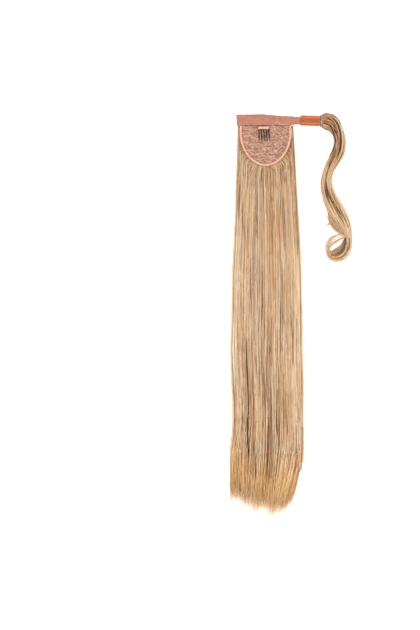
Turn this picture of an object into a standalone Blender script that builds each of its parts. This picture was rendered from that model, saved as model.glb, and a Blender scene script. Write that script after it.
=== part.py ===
"""Wrap-around ponytail hairpiece, lying flat with its inner side up.

A strap of loop fabric carries a U-shaped lace base with a comb. Three tiers of hair are sewn under the
base, and a loose strand that wraps round the wearer's own ponytail is sewn to the strap's tab.
Metres. +X runs along the strap to the tab, +Y from the tips to the strap, and the surface is z = 0.
The pieces are laid out from the middle of the strap's lower edge.
"""

import math
from collections import namedtuple

import bmesh
import bpy
from mathutils import Vector

# Clearance between pieces that are sewn together
GAP = 0.0003

# Base: a U of lace that rises a little towards the tips, on the hair under it
BASE_WIDTH = 0.0776
BASE_DEPTH = 0.0610
BASE_STRAIGHT = 0.0100
BASE_LIFT = 0.0110
BASE_TILT = math.radians(4.8)
EDGE_STEPS = 22

# Lace
NET_THICK = 0.0009
NET_MARGIN = 0.0016
SLOT_PITCH = 0.0077
SLOT_ROW_PITCH = 0.0062
SLOT_LENGTH = 0.0060
SLOT_WIDTH = 0.0020
SLOT_RISE = 0.0022
NET_RIB = 0.0008
CUT_MARGIN = 0.0020

# Binding
BINDING_WIDTH = 0.0036
BINDING_WALL = 0.0010

# Strap
STRAP_LENGTH = 0.1248
STRAP_WIDTH = 0.0173
STRAP_THICK = 0.0018
STRAP_OVERHANG = 0.0047
STRAP_EDGE = 0.0004

# Hook patches
TAB_PATCH_LENGTH = 0.0292
TAB_PATCH_WIDTH = 0.0153
TAB_PATCH_LOWER = 0.0003
END_PATCH_LENGTH = 0.0600
END_PATCH_WIDTH = 0.0134
PATCH_THICK = 0.0012
PATCH_EDGE = 0.0003

# Comb
COMB_CENTRE = -0.0031
COMB_TEETH = 5
COMB_PITCH = 0.0037
TOOTH_LENGTH = 0.0178
TOOTH_WIDTH = 0.0013
TOOTH_THICK = 0.0010
TOOTH_BULGE = 0.0013
TOOTH_FAN = 0.0012
SPINE_WIDTH = 0.0024
SPINE_THICK = 0.0012

# Comb's sleeve
SLEEVE_LENGTH = 0.0163
SLEEVE_WALL = 0.0008
SLEEVE_SETBACK = 0.0006

# Hair
HAIR_LENGTH = 0.5880
HAIR_WIDTH = 0.1100
HAIR_HEIGHT = 0.0190
HAIR_OFFSET = -0.0012
ROOT_SPREAD = 0.0025
FAN_LENGTH = 0.0400
MIDDLE_START = 0.0200
INNER_START = 0.0400
SIDE_ROUND = 0.0012
LOCK_RELIEF = 0.0018
FLOOR_RELIEF = 0.0010
LOCK_SWAY = 0.0014
WAVE_LENGTH = 0.2600
CROWN_ARCH = 0.62

# Cuff between the tab and the strand
CUFF_DEPTH = 0.0050
CUFF_LENGTH = 0.0210
CUFF_HEIGHT = 0.0060
CUFF_WALL = 0.0010
CUFF_MIDDLE = 0.0075

# Wrap strand
STRAND_SPREAD = 0.0390
STRAND_DROP = 0.1720
STRAND_WIDTH = 0.0285
STRAND_HEIGHT = 0.0085
HEAD_ROWS = 2
COIL_ACROSS = 0.0315
COIL_DOWN = 0.0360
COIL_START = math.radians(18.0)
COIL_TURN = math.radians(288.0)
COIL_STEPS = 15

# Where the hair has passed the base's lower edge
BASE_REACH = BASE_DEPTH + GAP
# Height of the net's upper face over its lower one, with the clearance over it
OVER_NET = NET_THICK + GAP
BINDING_HEIGHT = NET_THICK + 2.0 * (GAP + BINDING_WALL)
STRAP_LEFT = -BASE_WIDTH / 2.0 - STRAP_OVERHANG
STRAP_RIGHT = STRAP_LEFT + STRAP_LENGTH

# Strap: place along its length, edges as shares of its width, and droop beyond the base as a share of
# the whole droop. The droop is even under the tab's patch, so that the patch lies flat.
StrapRow = namedtuple("StrapRow", "along lower upper droop")
STRAP_ROWS = (
    StrapRow(0.000, 0.06, 0.91, 0.0),
    StrapRow(0.010, 0.01, 0.96, 0.0),
    StrapRow(0.312, 0.00, 1.00, 0.0),
    StrapRow(0.537, 0.00, 0.85, 0.0),
    StrapRow(0.655, 0.04, 0.81, 0.0),
    StrapRow(0.710, 0.10, 0.78, 0.045),
    StrapRow(0.766, 0.13, 0.765, 0.181),
    StrapRow(1.000, 0.13, 0.785, 1.0),
)

# Hair under the base: underside of the hair and the two seams between tiers, as shares of its height
RootRow = namedtuple("RootRow", "floor low high")
ROOT_ROWS = (
    RootRow(0.80, 1.00, 1.00),
    RootRow(0.43, 1.00, 1.00),
    RootRow(0.18, 0.86, 1.00),
    RootRow(0.05, 0.74, 1.00),
    RootRow(0.00, 0.64, 0.90),
    RootRow(0.00, 0.475, 0.80),
)

# Hair below the base: place along the free length, height as a share of the greatest, and the two seams
# as shares of the height. At the last row the locks part.
FreeRow = namedtuple("FreeRow", "along height low high")
FREE_ROWS = (
    FreeRow(0.026, 0.90, 0.40, 0.71),
    FreeRow(0.073, 0.97, 0.34, 0.66),
    FreeRow(0.130, 1.00, 0.33, 0.66),
    FreeRow(0.200, 1.00, 0.33, 0.66),
    FreeRow(0.270, 0.99, 0.33, 0.66),
    FreeRow(0.340, 1.00, 0.33, 0.66),
    FreeRow(0.410, 0.98, 0.33, 0.66),
    FreeRow(0.480, 0.96, 0.33, 0.66),
    FreeRow(0.550, 0.92, 0.33, 0.66),
    FreeRow(0.610, 0.89, 0.33, 0.66),
    FreeRow(0.670, 0.85, 0.33, 0.66),
    FreeRow(0.730, 0.78, 0.33, 0.66),
    FreeRow(0.795, 0.68, 0.33, 0.66),
)
TIP_ROW = FreeRow(1.0, 0.21, 0.33, 0.66)

# Outline of the hair seen from above: place along its length, sides as shares of its width
OutlineRow = namedtuple("OutlineRow", "along left right")
OUTLINE_ROWS = (
    OutlineRow(0.163, -0.393, 0.440),
    OutlineRow(0.265, -0.410, 0.468),
    OutlineRow(0.367, -0.438, 0.495),
    OutlineRow(0.469, -0.445, 0.509),
    OutlineRow(0.571, -0.465, 0.509),
    OutlineRow(0.673, -0.443, 0.522),
    OutlineRow(0.724, -0.427, 0.522),
    OutlineRow(0.776, -0.439, 0.526),
    OutlineRow(0.827, -0.468, 0.536),
    OutlineRow(1.000, -0.450, 0.480),
)

# Where the tips end: place across the hair from its left side, and reach as a share of its length
TipRow = namedtuple("TipRow", "across reach")
TIP_ROWS = (
    TipRow(0.00, 0.952),
    TipRow(0.07, 0.969),
    TipRow(0.27, 0.991),
    TipRow(0.54, 1.000),
    TipRow(0.75, 0.993),
    TipRow(0.84, 0.957),
    TipRow(0.93, 0.922),
    TipRow(1.00, 0.893),
)

# Locks side by side: relative width, how far the tip falls short of its tier's reach as a share of the
# hair's length, and how far the tip sweeps to the right as a share of the lock's width
LockRow = namedtuple("LockRow", "width short sweep")
LOCK_ROWS = (
    LockRow(0.80, 0.004, -0.25),
    LockRow(1.10, 0.000, -0.15),
    LockRow(0.90, 0.013, -0.10),
    LockRow(1.20, 0.002, 0.05),
    LockRow(0.85, 0.017, 0.00),
    LockRow(1.05, 0.000, -0.12),
    LockRow(1.15, 0.009, -0.20),
    LockRow(0.90, 0.000, -0.05),
    LockRow(1.00, 0.015, 0.08),
    LockRow(1.20, 0.001, -0.10),
    LockRow(0.85, 0.010, -0.22),
    LockRow(0.95, 0.003, -0.30),
)

# A parted lock: place from the parting to its tip, and its width and thickness there as shares
TaperRow = namedtuple("TaperRow", "along width thickness")
TAPER_ROWS = (
    TaperRow(0.25, 0.93, 1.00),
    TaperRow(0.50, 0.80, 0.92),
    TaperRow(0.75, 0.58, 0.78),
    TaperRow(0.92, 0.34, 0.60),
    TaperRow(1.00, 0.12, 0.45),
)

# Tiers: first row of the lock table that each takes, and its share of the hair's reach
Tier = namedtuple("Tier", "name start root_inset side_inset locks first_lock reach top bottom relief keel arch")
TIERS = (
    Tier("hair_tier_outer", 0.0, 0.0, 0.0, 12, 0, 1.000, "low", "floor", 0.0, FLOOR_RELIEF, 0.0),
    Tier("hair_tier_middle", MIDDLE_START, 0.0080, 0.0030, 11, 4, 0.988, "high", "low", 0.0, 0.0, 0.0),
    Tier("hair_tier_inner", INNER_START, 0.0150, 0.0065, 11, 7, 0.972, "crest", "high", LOCK_RELIEF, 0.0,
         CROWN_ARCH),
)

# Wrap strand from the cuff to its coil: centre line as shares of its spread and drop, width and height
# as shares, and how much of the cuff's seat height lies under it
StrandRow = namedtuple("StrandRow", "across down width height lift")
STRAND_ROWS = (
    StrandRow(0.000, 0.000, 0.68, 0.00, 1.0),
    StrandRow(0.100, 0.000, 0.70, 0.00, 1.0),
    StrandRow(0.275, 0.018, 0.83, 0.70, 0.3),
    StrandRow(0.460, 0.042, 0.84, 0.95, 0.0),
    StrandRow(0.650, 0.107, 0.76, 0.95, 0.0),
    StrandRow(0.705, 0.194, 0.69, 0.85, 0.0),
    StrandRow(0.655, 0.264, 0.78, 0.85, 0.0),
    StrandRow(0.520, 0.332, 0.78, 0.85, 0.0),
    StrandRow(0.385, 0.398, 0.71, 0.80, 0.0),
    StrandRow(0.282, 0.465, 0.66, 0.80, 0.0),
    StrandRow(0.232, 0.527, 0.66, 0.80, 0.0),
    StrandRow(0.250, 0.588, 0.71, 0.80, 0.0),
    StrandRow(0.346, 0.658, 0.77, 0.85, 0.0),
    StrandRow(0.480, 0.728, 0.89, 0.90, 0.0),
    StrandRow(0.615, 0.798, 1.00, 0.95, 0.0),
    StrandRow(0.731, 0.868, 0.96, 0.95, 0.0),
    StrandRow(0.885, 0.938, 0.68, 0.85, 0.0),
    StrandRow(0.985, 1.000, 0.46, 0.75, 0.0),
)

# Coil at the strand's end: place along it, width and height as shares of the strand's
CoilRow = namedtuple("CoilRow", "along width height")
COIL_ROWS = (
    CoilRow(0.00, 0.38, 0.72),
    CoilRow(0.25, 0.43, 0.72),
    CoilRow(0.45, 0.30, 0.66),
    CoilRow(0.70, 0.25, 0.58),
    CoilRow(0.90, 0.15, 0.45),
    CoilRow(1.00, 0.06, 0.30),
)

# Section of the strand: place across it from its middle, as a share of its half width, and height
SectionPoint = namedtuple("SectionPoint", "across height")
STRAND_SECTION = (
    SectionPoint(-1.00, 0.30),
    SectionPoint(-0.72, 0.80),
    SectionPoint(-0.42, 0.68),
    SectionPoint(-0.05, 1.00),
    SectionPoint(0.34, 0.74),
    SectionPoint(0.66, 0.88),
    SectionPoint(1.00, 0.30),
    SectionPoint(0.85, 0.00),
    SectionPoint(0.00, 0.00),
    SectionPoint(-0.85, 0.00),
)

Station = namedtuple("Station", "down height floor low high")


def srgb(red, green, blue):
    """Linear colour of an 8-bit screen colour."""
    def linear(level):
        share = level / 255.0
        if share <= 0.04045:
            return share / 12.92
        return ((share + 0.055) / 1.055) ** 2.4
    return (linear(red), linear(green), linear(blue), 1.0)


def finish(name, colour, roughness, metallic=0.0):
    """A plain surface of one colour."""
    surface = bpy.data.materials.new(name)
    surface.use_nodes = True
    shader = surface.node_tree.nodes["Principled BSDF"]
    shader.inputs["Base Color"].default_value = colour
    shader.inputs["Roughness"].default_value = roughness
    shader.inputs["Metallic"].default_value = metallic
    surface.diffuse_color = colour
    return surface


def loop_fabric():
    return finish("loop_fabric", srgb(198, 136, 113), 0.95)


def hook_tape():
    return finish("hook_tape", srgb(192, 101, 60), 0.60)


def lace():
    return finish("lace", srgb(194, 147, 123), 0.90)


def binding_cloth():
    return finish("binding_cloth", srgb(227, 171, 151), 0.90)


def comb_metal():
    return finish("comb_metal", srgb(74, 66, 64), 0.35, 1.0)


def sleeve_cloth():
    return finish("sleeve_cloth", srgb(206, 146, 124), 0.90)


def hair_fibre(name, colour):
    return finish(name, colour, 0.50)


def cuff_cloth():
    return finish("cuff_cloth", srgb(216, 140, 120), 0.90)


def interpolate(rows, key, place, value):
    """Value of one column of a table at a place between its rows, held beyond its ends."""
    first = rows[0]
    if place <= getattr(first, key):
        return getattr(first, value)
    for second in rows[1:]:
        start = getattr(first, key)
        end = getattr(second, key)
        if place <= end:
            share = (place - start) / (end - start)
            return getattr(first, value) * (1.0 - share) + getattr(second, value) * share
        first = second
    return getattr(first, value)


def add_empty(name, parent=None):
    """A frame that pieces are placed under."""
    frame = bpy.data.objects.new(name, None)
    bpy.context.scene.collection.objects.link(frame)
    frame.parent = parent
    return frame


def add_solid(name, points, faces, parent, surface):
    """A closed mesh object with its faces pointing out."""
    mesh = bpy.data.meshes.new(name)
    mesh.from_pydata([tuple(point) for point in points], [], faces)
    mesh.materials.append(surface)
    work = bmesh.new()
    work.from_mesh(mesh)
    bmesh.ops.recalc_face_normals(work, faces=work.faces)
    work.to_mesh(mesh)
    work.free()
    solid = bpy.data.objects.new(name, mesh)
    bpy.context.scene.collection.objects.link(solid)
    solid.parent = parent
    return solid


def bridge(first, second):
    """Faces between two rings of point numbers."""
    count = len(first)
    following = [(index + 1) % count for index in range(count)]
    return [(first[i], first[j], second[j], second[i]) for i, j in zip(range(count), following)]


def loft(name, rings, parent, surface):
    """A solid through rings of equally many points, with flat ends."""
    count = len(rings[0])
    numbers = [list(range(step * count, (step + 1) * count)) for step in range(len(rings))]
    faces = [tuple(reversed(numbers[0])), tuple(numbers[-1])]
    for first, second in zip(numbers, numbers[1:]):
        faces.extend(bridge(first, second))
    points = [point for ring in rings for point in ring]
    return add_solid(name, points, faces, parent, surface)


def use_boolean(target, tool, operation):
    """Cuts or joins with a hidden tool that stays in the file."""
    change = target.modifiers.new(operation.lower(), "BOOLEAN")
    change.operation = operation
    change.solver = "EXACT"
    change.object = tool
    tool.hide_render = True
    tool.display_type = "WIRE"


def channel_outline(depth, height, wall):
    """Outline of a folded channel that opens at its far side: depth and height of each corner."""
    round_off = wall * 0.8
    lip = wall * 0.3
    return (
        (round_off, 0.0), (depth - lip, 0.0), (depth, lip), (depth, wall), (wall, wall),
        (wall, height - wall), (depth, height - wall), (depth, height - lip), (depth - lip, height),
        (round_off, height), (0.0, height - round_off), (0.0, round_off),
    )


def base_edge(inset, top):
    """Points of the base's U edge, moved in by a distance, from its upper left end round to its right."""
    half = BASE_WIDTH / 2.0
    drop = BASE_DEPTH - BASE_STRAIGHT
    points = [Vector((-half + inset, top, 0.0))]
    for step in range(EDGE_STEPS + 1):
        turn = math.pi * step / EDGE_STEPS
        edge = Vector((-half * math.cos(turn), -BASE_STRAIGHT - drop * math.sin(turn), 0.0))
        outward = Vector((-math.cos(turn) / half, -math.sin(turn) / drop, 0.0)).normalized()
        points.append(edge - outward * inset)
    points.append(Vector((half - inset, top, 0.0)))
    return points


def inside_base(across, along, inset):
    """Whether a point of the base's plane lies inside its U edge by a distance."""
    half = BASE_WIDTH / 2.0 - inset
    drop = BASE_DEPTH - BASE_STRAIGHT - inset
    below = max(0.0, -along - BASE_STRAIGHT)
    return (across / half) ** 2 + (below / drop) ** 2 < 1.0 and along < -inset / 2.0


def height_over_surface(along, depth):
    """World height at a place of the base's plane, less a depth square to it. along is world y."""
    return BASE_LIFT - along * math.tan(BASE_TILT) - depth / math.cos(BASE_TILT)


def height_in_base(along, height):
    """The base frame's own height at a world height."""
    return (height - BASE_LIFT + along * math.sin(BASE_TILT)) / math.cos(BASE_TILT)


def slot_outline(across, along):
    """Corners of one zigzag slot of the lace."""
    half = SLOT_LENGTH / 2.0
    foot = SLOT_WIDTH / 2.0
    lower = [(-half, -SLOT_RISE / 2.0 - foot), (0.0, SLOT_RISE / 2.0 - foot), (half, -SLOT_RISE / 2.0 - foot)]
    upper = [(x, y + SLOT_WIDTH) for x, y in reversed(lower)]
    return [(across + x, along + y) for x, y in lower + upper]


def slot_outlines():
    """All slots that lie whole inside the binding, row by row."""
    inset = BINDING_WIDTH + NET_RIB
    reach = SLOT_RISE / 2.0 + SLOT_WIDTH / 2.0
    rows = int(BASE_DEPTH / SLOT_ROW_PITCH) + 1
    columns = int(BASE_WIDTH / SLOT_PITCH) + 1
    outlines = []
    for row in range(rows):
        along = -inset / 2.0 - reach - NET_RIB - row * SLOT_ROW_PITCH
        shift = 0.5 * (row % 2)
        for column in range(-columns, columns + 1):
            outline = slot_outline((column + shift) * SLOT_PITCH, along)
            if all(inside_base(x, y, inset) for x, y in outline):
                outlines.append(outline)
    return outlines


def add_slot_cutter(parent, surface):
    """One hidden tool of all the slots."""
    points = []
    faces = []
    for outline in slot_outlines():
        count = len(outline)
        first = list(range(len(points), len(points) + count))
        second = [number + count for number in first]
        points.extend((x, y, -CUT_MARGIN) for x, y in outline)
        points.extend((x, y, NET_THICK + CUT_MARGIN) for x, y in outline)
        faces.append(tuple(reversed(first)))
        faces.append(tuple(second))
        faces.extend(bridge(first, second))
    return add_solid("slot_cutter", points, faces, parent, surface)


def add_net_panel(base):
    """The lace, its edge inside the binding and its top margin under the strap."""
    surface = lace()
    outline = base_edge(BINDING_WALL + GAP, NET_MARGIN)
    lower = [point.copy() for point in outline]
    upper = [point + Vector((0.0, 0.0, NET_THICK)) for point in outline]
    panel = loft("net_panel", [lower, upper], base, surface)
    use_boolean(panel, add_slot_cutter(base, surface), "DIFFERENCE")
    return panel


def add_edge_binding(base):
    """A folded channel swept round the U, which holds the lace's edge."""
    under = -GAP - BINDING_WALL
    section = channel_outline(BINDING_WIDTH, BINDING_HEIGHT, BINDING_WALL)
    columns = []
    for depth, height in section:
        lifted = Vector((0.0, 0.0, under + height))
        columns.append([point + lifted for point in base_edge(depth, -GAP)])
    rings = [list(ring) for ring in zip(*columns)]
    return loft("edge_binding", rings, base, binding_cloth())


def strap_droop(along):
    """How far the strap's underside lies below its place over the base, at a share of its length."""
    seat = (CUFF_HEIGHT - STRAP_THICK) / 2.0
    whole = OVER_NET - height_in_base(CUFF_MIDDLE, seat)
    return whole * interpolate(STRAP_ROWS, "along", along, "droop")


def ribbon(name, rows, edge, parent, surface):
    """A flat band through rows of (x, lower y, upper y, bottom z, top z), with softened edges."""
    rings = []
    for x, lower, upper, bottom, top in rows:
        ring = [
            (lower + edge, bottom), (upper - edge, bottom), (upper, bottom + edge), (upper, top - edge),
            (upper - edge, top), (lower + edge, top), (lower, top - edge), (lower, bottom + edge),
        ]
        rings.append([Vector((x, y, z)) for y, z in ring])
    return loft(name, rings, parent, surface)


def add_strap(base):
    """The band over the net's margin, drooping beyond the base to the cuff."""
    rows = []
    for row in STRAP_ROWS:
        bottom = OVER_NET - strap_droop(row.along)
        rows.append((STRAP_LEFT + row.along * STRAP_LENGTH, row.lower * STRAP_WIDTH, row.upper * STRAP_WIDTH,
                     bottom, bottom + STRAP_THICK))
    return ribbon("strap", rows, STRAP_EDGE, base, loop_fabric())


def add_tab_patch(base):
    """The hook patch on the tab's inner side."""
    rows = []
    for x in (STRAP_RIGHT - TAB_PATCH_LENGTH, STRAP_RIGHT - GAP):
        along = (x - STRAP_LEFT) / STRAP_LENGTH
        bottom = OVER_NET - strap_droop(along) + STRAP_THICK + GAP
        rows.append((x, TAB_PATCH_LOWER, TAB_PATCH_LOWER + TAB_PATCH_WIDTH, bottom, bottom + PATCH_THICK))
    return ribbon("hook_patch_inner", rows, PATCH_EDGE, base, hook_tape())


def add_end_patch(base):
    """The hook patch under the strap's other end, on its outer side."""
    lower = NET_MARGIN + GAP
    top = OVER_NET - GAP
    rows = []
    for x in (STRAP_LEFT + GAP, STRAP_LEFT + END_PATCH_LENGTH):
        rows.append((x, lower, lower + END_PATCH_WIDTH, top - PATCH_THICK, top))
    return ribbon("hook_patch_outer", rows, PATCH_EDGE, base, hook_tape())


def sleeve_height():
    """Height of the comb's sleeve, from its own walls and the spine in it."""
    return SPINE_THICK + 2.0 * (SLEEVE_WALL + GAP)


def add_comb_sleeve(base):
    """A fold of cloth round the comb's spine, open where the teeth come out."""
    depth = SLEEVE_WALL + 2.0 * GAP + SPINE_WIDTH
    rings = []
    for x in (COMB_CENTRE - SLEEVE_LENGTH / 2.0, COMB_CENTRE + SLEEVE_LENGTH / 2.0):
        outline = channel_outline(depth, sleeve_height(), SLEEVE_WALL)
        rings.append([Vector((x, -SLEEVE_SETBACK - out, OVER_NET + up)) for out, up in outline])
    return loft("comb_sleeve", rings, base, sleeve_cloth())


def tooth_rings(number, root, middle):
    """Sections of one tooth, from inside the spine to its tip."""
    offset = (number - (COMB_TEETH - 1) / 2.0) * COMB_PITCH
    tip = OVER_NET + TOOTH_THICK / 2.0
    rings = []
    for share in (0.0, 0.2, 0.45, 0.7, 0.9, 1.0):
        slim = 1.0 - 0.45 * share ** 2
        x = COMB_CENTRE + offset + TOOTH_FAN * share
        y = root - TOOTH_LENGTH * share
        z = middle + (tip - middle) * share + TOOTH_BULGE * math.sin(math.pi * share)
        ring = []
        for side in range(8):
            turn = math.tau * (side + 0.5) / 8
            ring.append(Vector((x + 0.5 * TOOTH_WIDTH * slim * math.cos(turn), y,
                                z + 0.5 * TOOTH_THICK * slim * math.sin(turn))))
        rings.append(ring)
    return rings


def add_comb_teeth(base):
    """The comb: a flat spine with round teeth that bow away from the lace."""
    surface = comb_metal()
    back = -SLEEVE_SETBACK - SLEEVE_WALL - GAP
    front = back - SPINE_WIDTH
    low = OVER_NET + SLEEVE_WALL + GAP
    half = (COMB_TEETH - 1) * COMB_PITCH / 2.0 + TOOTH_WIDTH / 2.0
    rows = [(x, front, back, low, low + SPINE_THICK) for x in (COMB_CENTRE - half, COMB_CENTRE + half)]
    comb = ribbon("comb_teeth", rows, SPINE_THICK / 5.0, base, surface)
    middle = low + SPINE_THICK / 2.0
    for number in range(COMB_TEETH):
        rings = tooth_rings(number, front + SPINE_WIDTH / 2.0, middle)
        use_boolean(comb, loft(f"tooth_{number}", rings, base, surface), "UNION")
    return comb


def root_stations():
    """Stations of the hair under the base, which holds it down."""
    places = (0.0, MIDDLE_START / 2.0, MIDDLE_START, (MIDDLE_START + INNER_START) / 2.0, INNER_START, BASE_REACH)
    stations = []
    for down, row in zip(places, ROOT_ROWS):
        height = height_over_surface(-down, BINDING_WALL + 2.0 * GAP)
        stations.append(Station(down, height, row.floor, row.low, row.high))
    return stations


def free_station(row):
    """Station of the hair below the base."""
    down = BASE_REACH + row.along * (HAIR_LENGTH - BASE_REACH)
    return Station(down, row.height * HAIR_HEIGHT, 0.0, row.low, row.high)


def merged_stations(tier):
    """Stations of a tier from its weft to the place where the locks part."""
    stations = root_stations() + [free_station(row) for row in FREE_ROWS]
    return [station for station in stations if station.down >= tier.start - GAP]


def parted_station(down):
    """Station of the parted locks, where every level falls evenly to the tips."""
    start = free_station(FREE_ROWS[-1])
    end = free_station(TIP_ROW)
    share = (down - start.down) / (end.down - start.down)
    height = start.height * (1.0 - share) + end.height * share
    return Station(down, height, 0.0, start.low, start.high)


def hair_sides(down):
    """Left and right side of the whole hair at a distance below the strap."""
    first = OUTLINE_ROWS[0]
    start = first.along * HAIR_LENGTH
    left = HAIR_OFFSET + HAIR_WIDTH * interpolate(OUTLINE_ROWS, "along", down / HAIR_LENGTH, "left")
    right = HAIR_OFFSET + HAIR_WIDTH * interpolate(OUTLINE_ROWS, "along", down / HAIR_LENGTH, "right")
    share = max(0.0, 1.0 - down / start)
    root = BASE_WIDTH / 2.0 + ROOT_SPREAD
    return left * (1.0 - share) - root * share, right * (1.0 - share) + root * share


def tier_sides(tier, down):
    """Left and right side of a tier, which fans out from its weft."""
    left, right = hair_sides(down)
    share = max(0.0, 1.0 - (down - tier.start) / FAN_LENGTH)
    inset = tier.side_inset + (tier.root_inset - tier.side_inset) * share
    return left + inset, right - inset


def tier_locks(tier):
    """Rows of the lock table in the order of a tier's locks."""
    return [LOCK_ROWS[(tier.first_lock + number) % len(LOCK_ROWS)] for number in range(tier.locks)]


def lock_edges(tier, down):
    """Places across the tier where its locks meet, swaying a little along the hair."""
    left, right = tier_sides(tier, down)
    widths = [lock.width for lock in tier_locks(tier)]
    edges = []
    done = 0.0
    for number, width in enumerate([0.0] + widths):
        done += width
        sway = LOCK_SWAY * math.sin(math.tau * down / WAVE_LENGTH + 1.7 * number)
        if number in (0, tier.locks):
            sway = 0.0
        edges.append(left + (right - left) * done / sum(widths) + sway)
    return edges


def tier_levels(tier, station):
    """Top and bottom height of a tier, with half the clearance at each seam."""
    shares = {"floor": station.floor, "low": station.low, "high": station.high, "crest": 1.0}
    top = shares[tier.top] * station.height
    if shares[tier.top] < 1.0:
        top -= GAP / 2.0
    bottom = shares[tier.bottom] * station.height
    if tier.bottom != "floor":
        bottom += GAP / 2.0
    return top, bottom


def arched(tier, station, across):
    """Top height of a tier at a place across it, lower towards its sides where it is arched."""
    top, bottom = tier_levels(tier, station)
    left, right = tier_sides(tier, station.down)
    offset = (2.0 * across - left - right) / (right - left)
    return bottom + (top - bottom) * (1.0 - tier.arch * min(1.0, abs(offset)) ** 2.0)


def lock_points(places, crest, valley):
    """Points along one side of the locks: a point where two meet, and one on each where it has a ridge."""
    points = [(places[0], valley(places[0]))]
    for first, second in zip(places, places[1:]):
        middle = (first + second) / 2.0
        if crest is not None:
            points.append((middle, crest(middle)))
        points.append((second, valley(second)))
    return points


def tier_ring(tier, station):
    """Upper points, right side, lower points and left side of a tier at one station."""
    top, bottom = tier_levels(tier, station)
    edges = lock_edges(tier, station.down)
    left, right = edges[0], edges[-1]
    edges[0] += SIDE_ROUND
    edges[-1] -= SIDE_ROUND
    relief = min(tier.relief, (top - bottom) / 3.0)
    crest = (lambda x: arched(tier, station, x)) if tier.relief else None
    upper = lock_points(edges, crest, lambda x: arched(tier, station, x) - relief)
    keel = (lambda x: bottom) if tier.keel else None
    lower = lock_points(edges, keel, lambda x: bottom + tier.keel)
    side_height = (arched(tier, station, right) - relief + bottom + tier.keel) / 2.0
    place = -station.down
    return (
        [Vector((x, place, z)) for x, z in upper],
        [Vector((right, place, side_height))],
        [Vector((x, place, z)) for x, z in reversed(lower)],
        [Vector((left, place, side_height))],
    )


def lock_tip(tier, number, start, end):
    """How far down a lock's tip lies, from where the lock lies across the hair."""
    left, right = hair_sides(HAIR_LENGTH * OUTLINE_ROWS[-2].along)
    across = ((start + end) / 2.0 - left) / (right - left)
    reach = interpolate(TIP_ROWS, "across", across, "reach")
    return HAIR_LENGTH * (reach * tier.reach - tier_locks(tier)[number].short)


def tapered(ring, tier, number, row, start_down, tip_down):
    """A lock's first ring moved down to a row of the taper and drawn in there."""
    middle = (min(point.x for point in ring) + max(point.x for point in ring)) / 2.0
    width = max(point.x for point in ring) - min(point.x for point in ring)
    down = start_down + (tip_down - start_down) * row.along
    start_top, start_bottom = tier_levels(tier, parted_station(start_down))
    top, bottom = tier_levels(tier, parted_station(down))
    sweep = tier_locks(tier)[number].sweep * width * row.along ** 2
    points = []
    for point in ring:
        share = (point.z - start_bottom) / (start_top - start_bottom)
        height = bottom + (top - bottom) * share * row.thickness
        points.append(Vector((middle + sweep + (point.x - middle) * row.width, -down, height)))
    return points


def add_tier(tier, parent, surface):
    """A sheet of locks side by side, which part near the tips and end in tapered points."""
    points = []
    faces = []
    rings = []
    for station in merged_stations(tier):
        numbered = []
        for run in tier_ring(tier, station):
            numbered.append(list(range(len(points), len(points) + len(run))))
            points.extend(run)
        rings.append(numbered)
    whole = [sum(ring, []) for ring in rings]
    faces.append(tuple(reversed(whole[0])))
    for first, second in zip(whole, whole[1:]):
        faces.extend(bridge(first, second))
    upper, right, lower, left = rings[-1]
    lower = list(reversed(lower))
    upper_step = (len(upper) - 1) // tier.locks
    lower_step = (len(lower) - 1) // tier.locks
    start_down = merged_stations(tier)[-1].down
    for number in range(tier.locks):
        ring = upper[number * upper_step:(number + 1) * upper_step + 1]
        if number == tier.locks - 1:
            ring = ring + right
        ring = ring + list(reversed(lower[number * lower_step:(number + 1) * lower_step + 1]))
        if number == 0:
            ring = ring + left
        start = [points[index] for index in ring]
        tip_down = lock_tip(tier, number, start[0].x, start[upper_step].x)
        for row in TAPER_ROWS:
            placed = tapered(start, tier, number, row, start_down, tip_down)
            following = list(range(len(points), len(points) + len(placed)))
            points.extend(placed)
            faces.extend(bridge(ring, following))
            ring = following
        faces.append(tuple(ring))
    return add_solid(tier.name, points, faces, parent, surface)


def add_hair(parent):
    """The three tiers, darker towards the surface that they lie on."""
    colours = (srgb(188, 152, 118), srgb(196, 159, 124), srgb(204, 168, 132))
    return [add_tier(tier, parent, hair_fibre(tier.name, colour)) for tier, colour in zip(TIERS, colours)]


def cuff_start():
    """Where the cuff begins, just past the strap's end."""
    return STRAP_RIGHT + GAP


def add_strand_cuff(parent):
    """A fold of cloth that the strand's head is sewn into."""
    rings = []
    for y in (CUFF_MIDDLE - CUFF_LENGTH / 2.0, CUFF_MIDDLE + CUFF_LENGTH / 2.0):
        outline = channel_outline(CUFF_DEPTH, CUFF_HEIGHT, CUFF_WALL)
        rings.append([Vector((cuff_start() + out, y, up)) for out, up in outline])
    return loft("strand_cuff", rings, parent, cuff_cloth())


def strand_route():
    """Centre line of the strand and its coil: x, y, width, height and lift at each place."""
    head_x = cuff_start() + CUFF_WALL + GAP
    head_height = CUFF_HEIGHT - 2.0 * (CUFF_WALL + GAP)
    seat = CUFF_WALL + GAP
    route = []
    for row in STRAND_ROWS:
        route.append((head_x + row.across * STRAND_SPREAD, CUFF_MIDDLE - row.down * STRAND_DROP,
                      row.width * STRAND_WIDTH, max(head_height, row.height * STRAND_HEIGHT), row.lift * seat))
    end_x, end_y = route[-1][:2]
    half_across = COIL_ACROSS / 2.0
    half_down = COIL_DOWN / 2.0
    centre_x = end_x - half_across * 0.86
    centre_y = end_y - half_down
    for step in range(COIL_STEPS):
        share = step / (COIL_STEPS - 1)
        turn = COIL_START - COIL_TURN * share
        width = STRAND_WIDTH * interpolate(COIL_ROWS, "along", share, "width")
        height = STRAND_HEIGHT * interpolate(COIL_ROWS, "along", share, "height")
        route.append((centre_x + half_across * math.cos(turn), centre_y + half_down * math.sin(turn),
                      width, height, 0.0))
    return route


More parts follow.
